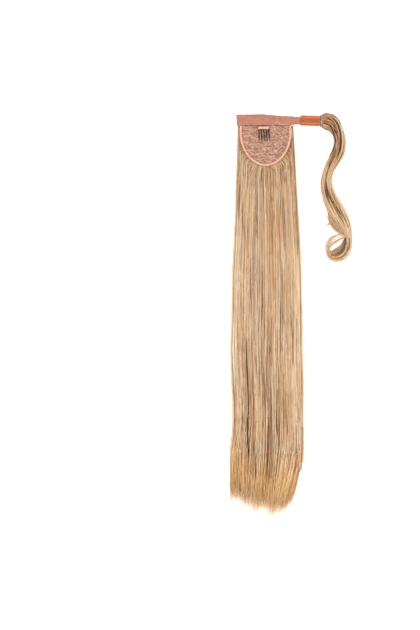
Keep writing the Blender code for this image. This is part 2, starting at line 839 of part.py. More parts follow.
def add_wrap_strand(parent):
    """A flat wavy strand of three locks, from the cuff to the thin end of its coil."""
    route = strand_route()
    rings = []
    for number, (x, y, width, height, lift) in enumerate(route):
        before = route[max(0, number - 1)]
        after = route[min(len(route) - 1, number + 1)]
        if number < HEAD_ROWS:
            before, after = route[0], route[1]
        run = Vector((after[0] - before[0], after[1] - before[1], 0.0)).normalized()
        side = Vector((-run.y, run.x, 0.0))
        centre = Vector((x, y, lift))
        rings.append([centre + side * (point.across * width / 2.0) + Vector((0.0, 0.0, point.height * height))
                      for point in STRAND_SECTION])
    return loft("wrap_strand", rings, parent, hair_fibre("wrap_strand", srgb(199, 162, 126)))


def clear_scene():
    for item in list(bpy.data.objects):
        bpy.data.objects.remove(item, do_unlink=True)


def centre_on_origin(root):
    """Moves the whole piece so that the middle of its footprint is the origin."""
    bpy.context.view_layer.update()
    solids = [item for item in bpy.data.objects if item.type == "MESH" and not item.hide_render]
    corners = [solid.matrix_world @ vertex.co for solid in solids for vertex in solid.data.vertices]
    middle_x = (min(corner.x for corner in corners) + max(corner.x for corner in corners)) / 2.0
    middle_y = (min(corner.y for corner in corners) + max(corner.y for corner in corners)) / 2.0
    root.location = (-middle_x, -middle_y, -min(corner.z for corner in corners))


def main():
    clear_scene()
    root = add_empty("hairpiece")
    base = add_empty("base_frame", root)
    base.location = (0.0, 0.0, BASE_LIFT)
    base.rotation_euler = (-BASE_TILT, 0.0, 0.0)
    add_net_panel(base)
    add_edge_binding(base)
    add_strap(base)
    add_tab_patch(base)
    add_end_patch(base)
    add_comb_sleeve(base)
    add_comb_teeth(base)
    add_hair(root)
    add_strand_cuff(root)
    add_wrap_strand(root)
    centre_on_origin(root)
    bpy.context.view_layer.update()


main()
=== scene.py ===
"""Looks of a wrap-around ponytail hairpiece, lying flat with its inner side up.

A strap of loop fabric carries a U-shaped lace base with a comb. Three tiers of blond hair hang from the
base, and a loose strand that wraps round the wearer's own ponytail is sewn to the strap's tab.
Metres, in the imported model's frame. Pieces are laid out from the middle of the strap's lower edge.
"""

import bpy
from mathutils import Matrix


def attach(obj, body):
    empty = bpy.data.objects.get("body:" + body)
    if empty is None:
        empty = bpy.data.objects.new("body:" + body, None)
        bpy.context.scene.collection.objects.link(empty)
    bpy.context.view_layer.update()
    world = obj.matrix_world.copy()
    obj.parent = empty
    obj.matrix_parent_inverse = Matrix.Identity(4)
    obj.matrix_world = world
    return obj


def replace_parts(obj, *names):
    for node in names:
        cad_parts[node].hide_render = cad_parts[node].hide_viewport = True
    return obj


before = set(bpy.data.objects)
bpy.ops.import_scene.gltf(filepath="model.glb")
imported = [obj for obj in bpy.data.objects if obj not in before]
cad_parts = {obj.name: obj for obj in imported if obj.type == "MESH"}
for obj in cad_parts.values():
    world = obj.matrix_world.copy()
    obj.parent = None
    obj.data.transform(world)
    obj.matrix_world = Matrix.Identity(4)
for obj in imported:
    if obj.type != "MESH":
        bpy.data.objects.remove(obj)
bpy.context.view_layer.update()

import logging
import math
from dataclasses import dataclass, field
from enum import Enum

import bmesh
import bpy
import numpy as np
from mathutils import Vector

Piece = bpy.types.Object
Mesh = bpy.types.Mesh
Random = np.random.Generator
Faces = list[tuple[int, ...]]
Array = np.ndarray
Rows = tuple[tuple[float, ...], ...]
Colour = tuple[float, float, float, float]

seeded = np.random.default_rng
LOG = logging.getLogger("hairpiece")
BODY = "root"

# Middle of the strap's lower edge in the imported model's frame
DATUM = np.array([-0.03855159, 0.28420999, 0])

# Sizes that several pieces share with the CAD model
GAP = 0.0003
BASE_WIDTH = 0.0776
BASE_DEPTH = 0.061
BASE_STRAIGHT = 0.01
BASE_LIFT = 0.011
BASE_TILT = math.radians(4.8)
NET_THICK = 0.0009
NET_MARGIN = 0.0016
OVER_NET = NET_THICK + GAP
STRAP_LEFT = -0.0435
STRAP_LENGTH = 0.1248
STRAP_RIGHT = STRAP_LEFT + STRAP_LENGTH
CUFF_MIDDLE = 0.0075


def srgb(red: float, green: float, blue: float) -> Colour:
    """Linear colour of an 8-bit screen colour.

    Args:
        red, green, blue: Levels from 0 to 255.

    Returns:
        Linear red, green and blue, and 1.
    """
    def linear(level: float) -> float:
        share = level / 255
        return share / 12.92 if share <= 0.04045 else ((share + 0.055) / 1.055) ** 2.4
    return (linear(red), linear(green), linear(blue), 1)


def lookup(rows: Rows, place: Array | float, column: int) -> Array:
    """Column of a table at places between its rows, held beyond its ends."""
    return np.interp(place, [row[0] for row in rows], [row[column] for row in rows])


def ease(share: Array) -> Array:
    """Smooth step from 0 to 1."""
    kept = held(share)
    return kept * kept * (3 - 2 * kept)


def held(share: Array) -> Array:
    """Values held between 0 and 1."""
    return np.clip(share, 0, 1)


def shares(count: int) -> Array:
    """Even shares from 0 to 1."""
    return np.linspace(0, 1, count)


def joined(*columns: Array | float) -> Array:
    """Points or marks of separate columns, spread over one another's shapes."""
    return np.stack(np.broadcast_arrays(*columns), axis=-1)


def unit(rows: Array) -> Array:
    """Vectors of length 1 the same ways, one a row."""
    return rows / np.linalg.norm(rows, axis=1)[:, None]


def smooth_path(points: Array, count: int) -> Array:
    """Even steps along a smooth curve through points.

    Args:
        points: One row for each point. The first two columns give the length, the others are carried along.
        count: How many points come out.

    Returns:
        count rows of the same columns.
    """
    padded = np.vstack([2 * points[0] - points[1], points, 2 * points[-1] - points[-2]])
    share = np.linspace(0, 1, 24, endpoint=False)[:, None]
    pieces = []
    for first, second, third, fourth in zip(padded, padded[1:], padded[2:], padded[3:]):
        pieces.append(0.5 * (2 * second + (third - first) * share
                             + (2 * first - 5 * second + 4 * third - fourth) * share ** 2
                             + (3 * second - first - 3 * third + fourth) * share ** 3))
    fine = np.vstack(pieces + [points[-1:]])
    steps = np.linalg.norm(np.diff(fine[:, :2], axis=0), axis=1)
    length = np.concatenate([[0], np.cumsum(steps)])
    even = np.linspace(0, length[-1], count)
    return np.column_stack([np.interp(even, length, column) for column in fine.T])


def ripple(place: Array, rng: Random, waves: Rows) -> Array:
    """Sum of sines of given (amplitude, wavelength) with random phases.

    Args:
        place: Where, in metres.
        rng: Source of the phases.
        waves: Amplitude and wavelength of each sine.

    Returns:
        The sum at each place.
    """
    total = np.zeros_like(np.asarray(place, dtype=float))
    for amplitude, wavelength in waves:
        total = total + amplitude * np.sin(math.tau * place / wavelength + rng.uniform(0, math.tau))
    return total


def channel(gap: float, wall: float, count: int) -> tuple[Array, Array]:
    """Section of a rolled channel, open at its inner side: share outwards and share up of each point.

    Args:
        gap: Half of the opening's angle.
        wall: Wall as a share of the section.
        count: Points on each side.

    Returns:
        Both shares, the outer side first.
    """
    turn = np.linspace(gap - math.pi, math.pi - gap, count)
    turn = np.concatenate([turn, turn[::-1]])
    reach = np.repeat([1, 1 - wall], count)
    lean = np.sign(np.cos(turn)) * np.abs(np.cos(turn)) ** 0.8
    rise = np.sign(np.sin(turn)) * np.abs(np.sin(turn)) ** 0.8
    return lean * reach, rise * reach


def round_edge(turn: Array) -> tuple[Array, Array]:
    """Points of the base's round edge, and the unit vectors out of it.

    Args:
        turn: Angles from 0 at the left end to pi at the right.

    Returns:
        Points and vectors, x and y.
    """
    half, drop = BASE_WIDTH / 2, BASE_DEPTH - BASE_STRAIGHT
    points = joined(-half * np.cos(turn), -BASE_STRAIGHT - drop * np.sin(turn))
    return points, unit(joined(-np.cos(turn) / half, -np.sin(turn) / drop))


def on_base(points: Array) -> Array:
    """Points of the base's own plane, tilted and lifted to where the base lies, from the datum.

    Args:
        points: x, y and z in the last axis.

    Returns:
        The points, placed.
    """
    placed = np.array(points, dtype=float)
    along, height = placed[..., 1].copy(), placed[..., 2].copy()
    placed[..., 1] = along * math.cos(BASE_TILT) + height * math.sin(BASE_TILT)
    placed[..., 2] = BASE_LIFT - along * math.sin(BASE_TILT) + height * math.cos(BASE_TILT)
    return placed


def linked(name: str, data: bpy.types.ID) -> Piece:
    """A new object of some data, in the scene.

    Args:
        name: The object's name.
        data: Its mesh, camera or lamp.

    Returns:
        The object.
    """
    thing = bpy.data.objects.new(name, data)
    bpy.context.scene.collection.objects.link(thing)
    return thing


class Socket:
    """One output in a node tree. Arithmetic on it adds Math nodes."""

    def __init__(self, tree: "NodeTree", port: bpy.types.NodeSocket) -> None:
        """Wraps an output of a tree."""
        self.tree = tree
        self.port = port

    def math(self, operation: str, *values: "Socket | float") -> "Socket":
        """Math node of an operation on values."""
        return self.tree.node("ShaderNodeMath", {"operation": operation}, dict(enumerate(values)))

    def __add__(self, other: "Socket | float") -> "Socket":
        """Sum."""
        return self.math("ADD", self, other)

    def __radd__(self, other: float) -> "Socket":
        """Sum, number first."""
        return self.math("ADD", other, self)

    def __sub__(self, other: "Socket | float") -> "Socket":
        """Difference."""
        return self.math("SUBTRACT", self, other)

    def __rsub__(self, other: float) -> "Socket":
        """Difference, number first."""
        return self.math("SUBTRACT", other, self)

    def __mul__(self, other: "Socket | float") -> "Socket":
        """Product."""
        return self.math("MULTIPLY", self, other)

    def held(self) -> "Socket":
        """The value held between 0 and 1."""
        return self.tree.node("ShaderNodeClamp", {}, {"Value": self})

    def span(self, low: float, high: float) -> "Socket":
        """0 at low and 1 at high, held beyond them."""
        return ((self - low) * (1 / (high - low))).held()


class NodeTree:
    """Adds nodes to one tree."""

    def __init__(self, tree: bpy.types.NodeTree) -> None:
        """Takes the tree."""
        self.tree = tree

    def node(self, kind: str, settings: dict | None = None, inputs: dict | None = None,
             output: str | int = 0) -> Socket | None:
        """Adds a node.

        Args:
            kind: The node's type.
            settings: Its own settings, set first. "stops" gives a ramp's stops.
            inputs: Values or links by socket name or number.
            output: Which output comes back.

        Returns:
            That output, if the node has any.
        """
        made = self.tree.nodes.new(kind)
        for key, value in (settings or {}).items():
            if key == "stops":
                self.set_stops(made.color_ramp, value)
            else:
                setattr(made, key, value)
        for key, value in (inputs or {}).items():
            self.feed(made.inputs[key], value)
        return Socket(self, made.outputs[output]) if made.outputs else None

    def set_stops(self, ramp: bpy.types.ColorRamp, stops: tuple) -> None:
        """Sets a ramp's stops.

        Args:
            ramp: The ramp.
            stops: Its place and colour pairs, in order.
        """
        while len(ramp.elements) < len(stops):
            ramp.elements.new(1)
        for element, (place, colour) in zip(ramp.elements, stops):
            element.position = place
            element.color = colour

    def feed(self, port: bpy.types.NodeSocket, value: object) -> None:
        """Links or sets one input.

        Args:
            port: The input.
            value: An output to link, or a value.
        """
        if isinstance(value, Socket):
            self.tree.links.new(value.port, port)
        else:
            port.default_value = value


class ShaderTree(NodeTree):
    """The nodes of one material."""

    def __init__(self, surface: bpy.types.Material) -> None:
        """Takes a new material with nodes."""
        super().__init__(surface.node_tree)
        self.shader = self.tree.nodes["Principled BSDF"]

    def noise(self, place: Socket, scale: float = 1, detail: float = 2, roughness: float = 0.5) -> Socket:
        """Noise between 0 and 1 at a place."""
        return self.node("ShaderNodeTexNoise", {"noise_dimensions": "3D"},
                         {"Vector": place, "Scale": scale, "Detail": detail, "Roughness": roughness})

    def combine(self, *values: Socket | float) -> Socket:
        """Vector of three values."""
        return self.node("ShaderNodeCombineXYZ", {}, dict(enumerate(values)))

    def separate(self, vector: Socket) -> tuple[Socket, Socket, Socket]:
        """The three values of a vector.

        Args:
            vector: The vector.

        Returns:
            Its x, y and z.
        """
        made = self.tree.nodes.new("ShaderNodeSeparateXYZ")
        self.feed(made.inputs[0], vector)
        return tuple(Socket(self, port) for port in made.outputs)

    def ramp(self, value: Socket, stops: tuple) -> Socket:
        """Colour of a ramp at a value."""
        return self.node("ShaderNodeValToRGB", {"stops": stops}, {0: value})

    def mix(self, share: Socket | float, first: Socket | Colour, second: Socket | Colour,
            blend: str = "MIX") -> Socket:
        """Mix of two colours."""
        return self.node("ShaderNodeMix", {"data_type": "RGBA", "blend_type": blend},
                         {0: share, 6: first, 7: second}, output=2)

    def place(self) -> Socket:
        """Object coordinates."""
        return self.node("ShaderNodeTexCoord", {}, {}, output="Object")

    def attribute(self, name: str, output: str = "Fac") -> Socket:
        """An attribute of the mesh."""
        return self.node("ShaderNodeAttribute", {"attribute_name": name}, {}, output=output)

    def bump(self, height: Socket, depth: float, strength: float = 1) -> None:
        """Relief on the surface, depth in metres."""
        normal = self.node("ShaderNodeBump", {}, {"Height": height, "Distance": depth, "Strength": strength})
        self.feed(self.shader.inputs["Normal"], normal)

    def set(self, **values: object) -> None:
        """Sets the shader's own inputs, with _ for a space in their names."""
        for key, value in values.items():
            self.feed(self.shader.inputs[key.replace("_", " ")], value)


@dataclass(frozen=True)
class Finish:
    """A material with its own nodes."""

    name: str

    def paint(self, tree: ShaderTree) -> None:
        """Fills the material's tree."""
        raise NotImplementedError

    def material(self) -> bpy.types.Material:
        """The material, made once.

        Returns:
            The same material each time.
        """
        surface = bpy.data.materials.get(self.name)
        if surface is None:
            surface = bpy.data.materials.new(self.name)
            surface.use_nodes = True
            self.paint(ShaderTree(surface))
        return surface


@dataclass(frozen=True)
class HairFinish(Finish):
    """Blond hair in streaks of cream, honey, tan, grey-beige and brown, along each strand's own course, with thin
    lines of painted shade between clumps; a shade well below 1 makes a darker copy as painted shade, one near 1 only
    warms it.
    """

    # Below 1, painted shade for a darker copy; near 1 it only warms the colour.
    shade: float = 1
    relief: float = 0
    ash: float = 0.8
    band_weight: float = 0.6
    fine_weight: float = 1.1
    grain_weight: float = 0.4
    broad_weight: float = 0.12
    gap_shade_weight: float = 0.26
    golden: Colour = (1.12, 0.83, 0.48, 1)

    def paint(self, tree: ShaderTree) -> None:
        """Streaks by the strand's place across, its place along and its own random value.

        Args:
            tree: The material's tree.
        """
        across, along, chance = tree.separate(tree.attribute("streak", "Vector"))
        share = tree.attribute("tip")

        def lines(wide: float, long: float, shift: float, detail: int = 1) -> Socket:
            """Noise that is stretched along the strands."""
            return tree.noise(tree.combine(across * wide, along * long, shift), detail=detail)

        bands, fine, grain = lines(1050, 4, 0.3, 0), lines(1700, 6, 4.7), lines(1500, 90, 5.5)
        broad, ashen, gap_shade = lines(150, 2.5, 7.7), lines(900, 3, 9.1), lines(1200, 4, 13.3)
        # gap_shade subtracts thin dark lines: painted shade in the gaps between clumps.
        streaks = ((bands - 0.5) * self.band_weight + (fine - 0.5) * self.fine_weight
                   + (grain - 0.5) * self.grain_weight + (broad - 0.5) * self.broad_weight
                   + (chance - 0.5) * (share.span(0.8, 0.9) * 0.7 + 0.85)
                   - gap_shade.span(0.6, 0.68) * self.gap_shade_weight)
        tone = (streaks * (along.span(0, 0.55) * 0.4 + 0.75) + tree.attribute("tone") + 0.51).held()
        warm = tree.ramp(tone, (
            (0, srgb(84, 54, 32)), (0.2, srgb(166, 116, 72)), (0.42, srgb(206, 158, 108)),
            (0.62, srgb(222, 182, 136)), (0.82, srgb(236, 204, 164)), (1, srgb(250, 230, 200))))
        ash = tree.ramp(tone, (
            (0, srgb(80, 63, 52)), (0.25, srgb(156, 132, 108)), (0.5, srgb(196, 170, 142)),
            (0.75, srgb(224, 200, 170)), (1, srgb(246, 232, 210))))
        colour = tree.mix(ashen.span(0.46, 0.62) * (1 - share.span(0.62, 0.92)) * self.ash, warm, ash)
        # Golden, then cream ends: partly the hair's own paler tips, partly painted light through the thin ends.
        colour = tree.mix(share.span(0.88, 0.97), colour, self.golden, "MULTIPLY")
        colour = tree.mix(share.span(0.955, 1) * 0.85, colour, srgb(255, 226, 172))
        # Painted shade: the shaded copies are multiplied darker.
        if self.shade != 1:
            shade = (self.shade, self.shade * 0.96, self.shade * 0.92, 1)
            colour = tree.mix(1, colour, shade, "MULTIPLY")
        tree.set(Base_Color=colour, Roughness=0.42, Specular_IOR_Level=0.35)
        if self.relief:
            tree.bump(lines(1600, 10, 2, 2), self.relief)


@dataclass(frozen=True)
class LoopFinish(Finish):
    """Dusty pink loop fabric with a fuzzy pile."""

    def paint(self, tree: ShaderTree) -> None:
        """Mottled pile, a little paler where it is worn.

        Args:
            tree: The material's tree.
        """
        place = tree.place()
        mottle = tree.noise(place, 260, 4, 0.6)
        pile = tree.noise(place, 2600, 3, 0.65)
        wear = tree.noise(place, 70, 3, 0.6)
        colour = tree.mix(mottle.span(0.34, 0.68), srgb(172, 110, 86), srgb(190, 133, 109))
        colour = tree.mix(pile.span(0.42, 0.7) * 0.45, colour, srgb(208, 158, 134))
        colour = tree.mix(wear.span(0.52, 0.72) * 0.35, colour, srgb(198, 148, 126))
        colour = tree.mix(tree.attribute("rim") * 0.7, colour, srgb(188, 98, 66))
        tree.set(Base_Color=colour, Roughness=0.95, Sheen_Weight=0.12, Sheen_Roughness=0.5)
        tree.bump(pile + mottle * 0.6, 0.0005, 0.9)


@dataclass(frozen=True)
class ThreadFinish(Finish):
    """Thread or cord of one colour with fine twist and a little dust."""

    colour: Colour = (1, 1, 1, 1)
    dark: Colour = (0.5, 0.5, 0.5, 1)
    twist: float = 1800

    def paint(self, tree: ShaderTree) -> None:
        """Twist marks in colour and relief.

        Args:
            tree: The material's tree.
        """
        place = tree.place()
        marks = tree.noise(place, self.twist, 2, 0.5)
        patches = tree.noise(place, 220, 3, 0.5)
        colour = tree.mix((marks * 0.5 + patches * 0.5).span(0.4, 0.62), self.dark, self.colour)
        tree.set(Base_Color=colour, Roughness=0.82, Sheen_Weight=0.2)
        tree.bump(marks, 0.0003, 0.7)


@dataclass(frozen=True)
class TapeFinish(Finish):
    """Woven orange tape that the hooks stand on."""

    def paint(self, tree: ShaderTree) -> None:
        """A fine plain weave with darker, worn places.

        Args:
            tree: The material's tree.
        """
        place = tree.place()
        across, along, _ = tree.separate(place)
        warp = tree.node("ShaderNodeMath", {"operation": "SINE"}, {0: across * 9000})
        weft = tree.node("ShaderNodeMath", {"operation": "SINE"}, {0: along * 9000})
        weave = warp * weft * 0.5 + 0.5
        stain = tree.noise(place, 330, 4, 0.6)
        patches = tree.noise(place, 700, 3, 0.6)
        colour = tree.mix(stain.span(0.38, 0.62), srgb(158, 62, 28), srgb(186, 94, 46))
        colour = tree.mix(patches.span(0.45, 0.66) * 0.6, colour, srgb(194, 106, 56))
        colour = tree.mix(weave * 0.2, colour, srgb(200, 114, 64))
        tree.set(Base_Color=colour, Roughness=0.7)
        tree.bump(weave * 0.6 + stain, 0.0002, 0.8)


@dataclass(frozen=True)
class HookFinish(Finish):
    """Moulded nylon hooks, slightly glossy."""

    def paint(self, tree: ShaderTree) -> None:
        """One orange with a little change from place to place.

        Args:
            tree: The material's tree.
        """
        tint = tree.noise(tree.place(), 400, 2, 0.5)
        tree.set(Base_Color=tree.mix(tint.span(0.35, 0.65), srgb(170, 70, 28), srgb(196, 100, 52)),
                 Roughness=0.38, Specular_IOR_Level=0.5)


@dataclass(frozen=True)
class LaceFinish(Finish):
    """Fine pinkish lace, brown where the hair's wefts show through it, with painted shade in a band beside each ridge.
    """

    def paint(self, tree: ShaderTree) -> None:
        """Colour by the lace's level mark, which also carries painted shade, with a fine net over it.

        Args:
            tree: The material's tree.
        """
        place = tree.place()
        level = tree.attribute("level")
        cells = tree.node("ShaderNodeTexVoronoi", {"feature": "DISTANCE_TO_EDGE"},
                          {"Vector": place, "Scale": 1100}, output="Distance")
        lines = 1 - cells.span(0.04, 0.16)
        patches = tree.noise(place, 520, 3, 0.6)
        colour = tree.ramp((level + (patches - 0.5) * 0.55).held(), (
            (0, srgb(92, 62, 44)), (0.28, srgb(146, 104, 80)), (0.52, srgb(190, 144, 120)),
            (0.78, srgb(216, 170, 148)), (1, srgb(238, 198, 178))))
        colour = tree.mix(lines * 0.22, colour, srgb(226, 178, 156))
        tree.set(Base_Color=colour, Roughness=0.85, Sheen_Weight=0.1)
        tree.bump(lines + patches * 0.5, 0.0003, 0.8)


@dataclass(frozen=True)
class SatinFinish(Finish):
    """Soft folded cloth of the binding, the sleeve and the cuff."""

    pale: Colour = (1, 1, 1, 1)
    deep: Colour = (0.5, 0.5, 0.5, 1)

    def paint(self, tree: ShaderTree) -> None:
        """Small gathers with a fine weave.

        Args:
            tree: The material's tree.
        """
        place = tree.place()
        gathers = tree.noise(place, 420, 3, 0.55)
        weave = tree.noise(place, 3200, 2, 0.5)
        colour = tree.mix(gathers.span(0.34, 0.62), self.deep, self.pale)
        tree.set(Base_Color=colour, Roughness=0.72, Sheen_Weight=0.35, Sheen_Roughness=0.4)
        tree.bump(gathers + weave * 0.35, 0.0003, 0.8)


@dataclass(frozen=True)
class WireFinish(Finish):
    """Gunmetal wire of the comb."""

    def paint(self, tree: ShaderTree) -> None:
        """Dark metal, rougher where it has been handled.

        Args:
            tree: The material's tree.
        """
        wear = tree.noise(tree.place(), 500, 3, 0.6)
        tree.set(Base_Color=tree.mix(wear.span(0.4, 0.7), srgb(22, 20, 21), srgb(54, 48, 48)),
                 Metallic=1, Roughness=wear * 0.25 + 0.22)


@dataclass(frozen=True)
class FloorFinish(Finish):
    """Plain pale studio floor."""

    def paint(self, tree: ShaderTree) -> None:
        """Even near-white.

        Args:
            tree: The material's tree.
        """
        tree.set(Base_Color=(0.95, 0.95, 0.95, 1), Roughness=0.9, Specular_IOR_Level=0,
                 Emission_Color=(1, 1, 1, 1), Emission_Strength=0.35)


STRAP_PILE = LoopFinish("loop_fabric_pile")
HAIR = HairFinish("hair_strands")
# Darker copies of the hair as painted shade: hair_under for the bodies and lines seen between strands,
# hair_shaded_curl for the curl's inner face.
HAIR_UNDER = HairFinish("hair_under", shade=0.8, relief=0.0006)
HAIR_SHADE = HairFinish("hair_shaded_curl", shade=0.8, ash=0.2)
HAIR_WRAP = HairFinish("hair_wrap_strand", shade=0.97, ash=0.3)
TAPE = TapeFinish("hook_tape_weave")
HOOKS = HookFinish("hook_nylon")
LACE = LaceFinish("lace_net")
BINDING = SatinFinish("binding_satin", pale=srgb(236, 178, 158), deep=srgb(214, 150, 128))
SLEEVE = SatinFinish("sleeve_satin", pale=srgb(240, 184, 160), deep=srgb(214, 150, 128))
# Pinkish brown cloth, darkened partly as painted shade where the hair bulges over the fold.
CUFF_CLOTH = SatinFinish("cuff_satin", pale=srgb(200, 162, 136), deep=srgb(150, 106, 84))
LACE_THREAD = ThreadFinish("lace_thread", colour=srgb(232, 182, 162), dark=srgb(204, 148, 124))
PALE_THREAD = ThreadFinish("pale_thread", colour=srgb(248, 228, 214), dark=srgb(224, 190, 174))
SEAM_THREAD = ThreadFinish("seam_thread", colour=srgb(214, 148, 126), dark=srgb(176, 108, 86))
# Dark cords at the cuff's edge as painted shadow.
SHADOW_LINE_THREAD = ThreadFinish("shadow_line_thread", colour=srgb(112, 72, 54), dark=srgb(68, 42, 32))
# A dark cord laid on the strap's edge as painted shadow of the comb's slit.
SLOT_SHADE_THREAD = ThreadFinish("slot_shadow_thread", colour=srgb(132, 84, 64), dark=srgb(96, 58, 44))
PINK_THREAD = ThreadFinish("pink_thread", colour=srgb(222, 138, 120), dark=srgb(190, 98, 80))
WIRE = WireFinish("comb_gunmetal")
FLOOR = FloorFinish("floor_pale")


def fitted(name: str, mesh: Mesh, finish: Finish, slot: str) -> Piece:
    """Links an object that rides on the body and takes a finish.

    Args:
        name: The piece's name.
        mesh: Its mesh.
        finish: Its material.
        slot: Not used.

    Returns:
        The object.
    """
    thing = linked(name, mesh)
    mesh.materials.clear()
    mesh.materials.append(finish.material())
    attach(thing, BODY)
    return thing


def solid(name: str, points: Array, faces: Faces, finish: Finish, slot: str,
          marks: dict[str, Array] | None = None) -> Piece:
    """A closed mesh with its faces pointing out.

    Args:
        name: The piece's name.
        points: Its points from the datum.
        faces: Its faces.
        finish: Its material.
        slot: Not used.
        marks: Attributes of its points, one or three values each.

    Returns:
        The object.
    """
    mesh = bpy.data.meshes.new(name)
    mesh.from_pydata((np.asarray(points) + DATUM).tolist(), [], faces)
    for key, values in (marks or {}).items():
        mark(mesh, key, values)
    work = bmesh.new()
    work.from_mesh(mesh)
    bmesh.ops.delete(work, geom=[point for point in work.verts if not point.link_faces], context="VERTS")
    bmesh.ops.recalc_face_normals(work, faces=work.faces)
    work.to_mesh(mesh)
    work.free()
    mesh.shade_smooth()
    return fitted(name, mesh, finish, slot)


def mark(mesh: Mesh, name: str, values: Array) -> None:
    """Stores an attribute of one or three values on a mesh's points.

    Args:
        mesh: The mesh.
        name: The attribute's name.
        values: Its values, one row a point.
    """
    wide = values.ndim > 1
    layer = mesh.attributes.new(name, "FLOAT_VECTOR" if wide else "FLOAT", "POINT")
    layer.data.foreach_set("vector" if wide else "value", values.astype(np.float32).ravel())


def shell(top: Array, bottom: Array, kept: Array | None = None) -> tuple[Array, Faces]:
    """Points and faces of a closed shell between two grids of the same size.

    Args:
        top: Rows by columns by three.
        bottom: The same places on the other side.
        kept: Which cells are cloth, all if not given. The others are open.

    Returns:
        Points and faces.
    """
    rows, columns = top.shape[:2]
    low = rows * columns
    kept = np.ones((rows - 1, columns - 1), bool) if kept is None else kept
    framed = np.pad(kept, 1)
    number = np.arange(low).reshape(rows, columns)
    faces = []
    for row, column in np.argwhere(kept):
        first, second = number[row, column], number[row, column + 1]
        third, fourth = number[row + 1, column + 1], number[row + 1, column]
        faces.append((first, second, third, fourth))
        faces.append((fourth + low, third + low, second + low, first + low))
        for start, end, beside in ((first, second, framed[row, column + 1]),
                                   (second, third, framed[row + 1, column + 2]),
                                   (third, fourth, framed[row + 2, column + 1]),
                                   (fourth, first, framed[row + 1, column])):
            if not beside:
                faces.append((end, start, start + low, end + low))
    points = np.vstack([top.reshape(-1, 3), bottom.reshape(-1, 3)])
    return points, [tuple(int(place) for place in face) for face in faces]


def sweep(rings: Array) -> tuple[Array, Faces]:
    """Points and faces of a closed sweep through rings, with flat ends.

    Args:
        rings: Rings by points by three.

    Returns:
        Points and faces.
    """
    steps, count = rings.shape[:2]
    faces = [tuple(range(count - 1, -1, -1)), tuple(range((steps - 1) * count, steps * count))]
    for step in range(steps - 1):
        for side in range(count):
            after = (side + 1) % count
            start = step * count
            faces.append((start + side, start + after, start + count + after, start + count + side))
    return rings.reshape(-1, 3), faces


class TubeTree(NodeTree):
    """Node tree that turns a mesh of lines into tubes along them."""

    def __init__(self) -> None:
        """Builds the tree with its named inputs."""
        super().__init__(bpy.data.node_groups.new("strand_tubes", "GeometryNodeTree"))
        self.ports = {
            name: self.tree.interface.new_socket(name, in_out="INPUT", socket_type="NodeSocket" + kind).identifier
            for name, kind in (("Lines", "Geometry"), ("Sides", "Int"), ("Frizz", "Float"), ("Seed", "Float"),
                               ("Finish", "Material"))}
        self.tree.interface.new_socket("Tubes", in_out="OUTPUT", socket_type="NodeSocketGeometry")
        self.wire()

    def wire(self) -> None:
        """Lines to curves, a little frizz, a tube by the thickness mark, then the finish."""
        lines, sides, frizz, seed, finish, _ = (Socket(self, port) for port in
                                                self.tree.nodes.new("NodeGroupInput").outputs)
        curves = self.node("GeometryNodeMeshToCurve", {}, {"Mesh": lines})
        noise = self.node("ShaderNodeTexNoise", {"noise_dimensions": "4D"}, {"W": seed, "Scale": 90, "Detail": 1},
                          "Color")
        centred = self.node("ShaderNodeVectorMath", {"operation": "SUBTRACT"}, {0: noise, 1: (0.5, 0.5, 0.5)})
        offset = self.node("ShaderNodeVectorMath", {"operation": "SCALE"}, {0: centred, "Scale": frizz})
        moved = self.node("GeometryNodeSetPosition", {}, {"Geometry": curves, "Offset": offset})
        thick = self.node("GeometryNodeInputNamedAttribute", {"data_type": "FLOAT"}, {"Name": "thick"}, "Attribute")
        circle = self.node("GeometryNodeCurvePrimitiveCircle", {}, {"Resolution": sides, "Radius": 1})
        tube = self.node("GeometryNodeCurveToMesh", {},
                         {"Curve": moved, "Profile Curve": circle, "Scale": thick, "Fill Caps": True})
        smooth = self.node("GeometryNodeSetShadeSmooth", {}, {"Geometry": tube})
        real = self.node("GeometryNodeRealizeInstances", {}, {"Geometry": smooth})
        done = self.node("GeometryNodeSetMaterial", {}, {"Geometry": real, "Material": finish})
        self.node("NodeGroupOutput", {}, {"Tubes": done})

    def tubes(self, name: str, lines: Mesh, sides: int, frizz: float, seed: float,
              finish: Finish) -> Mesh:
        """Plain mesh of the tubes round a mesh of lines.

        Args:
            name: The mesh's name.
            lines: Edges with a thickness at each point, used up.
            sides: Sides of a tube.
            frizz: Size of the random offsets.
            seed: Their seed.
            finish: The tubes' material.

        Returns:
            The mesh.
        """
        maker = linked(name + "_lines", lines)
        change = maker.modifiers.new("tubes", "NODES")
        change.node_group = self.tree
        for port, value in (("Sides", sides), ("Frizz", float(frizz)), ("Seed", float(seed)),
                            ("Finish", finish.material())):
            change[self.ports[port]] = value
        graph = bpy.context.evaluated_depsgraph_get()
        made = bpy.data.meshes.new_from_object(maker.evaluated_get(graph))
        bpy.data.objects.remove(maker, do_unlink=True)
        bpy.data.meshes.remove(lines)
        made.name = name
        return made


TUBES = TubeTree()


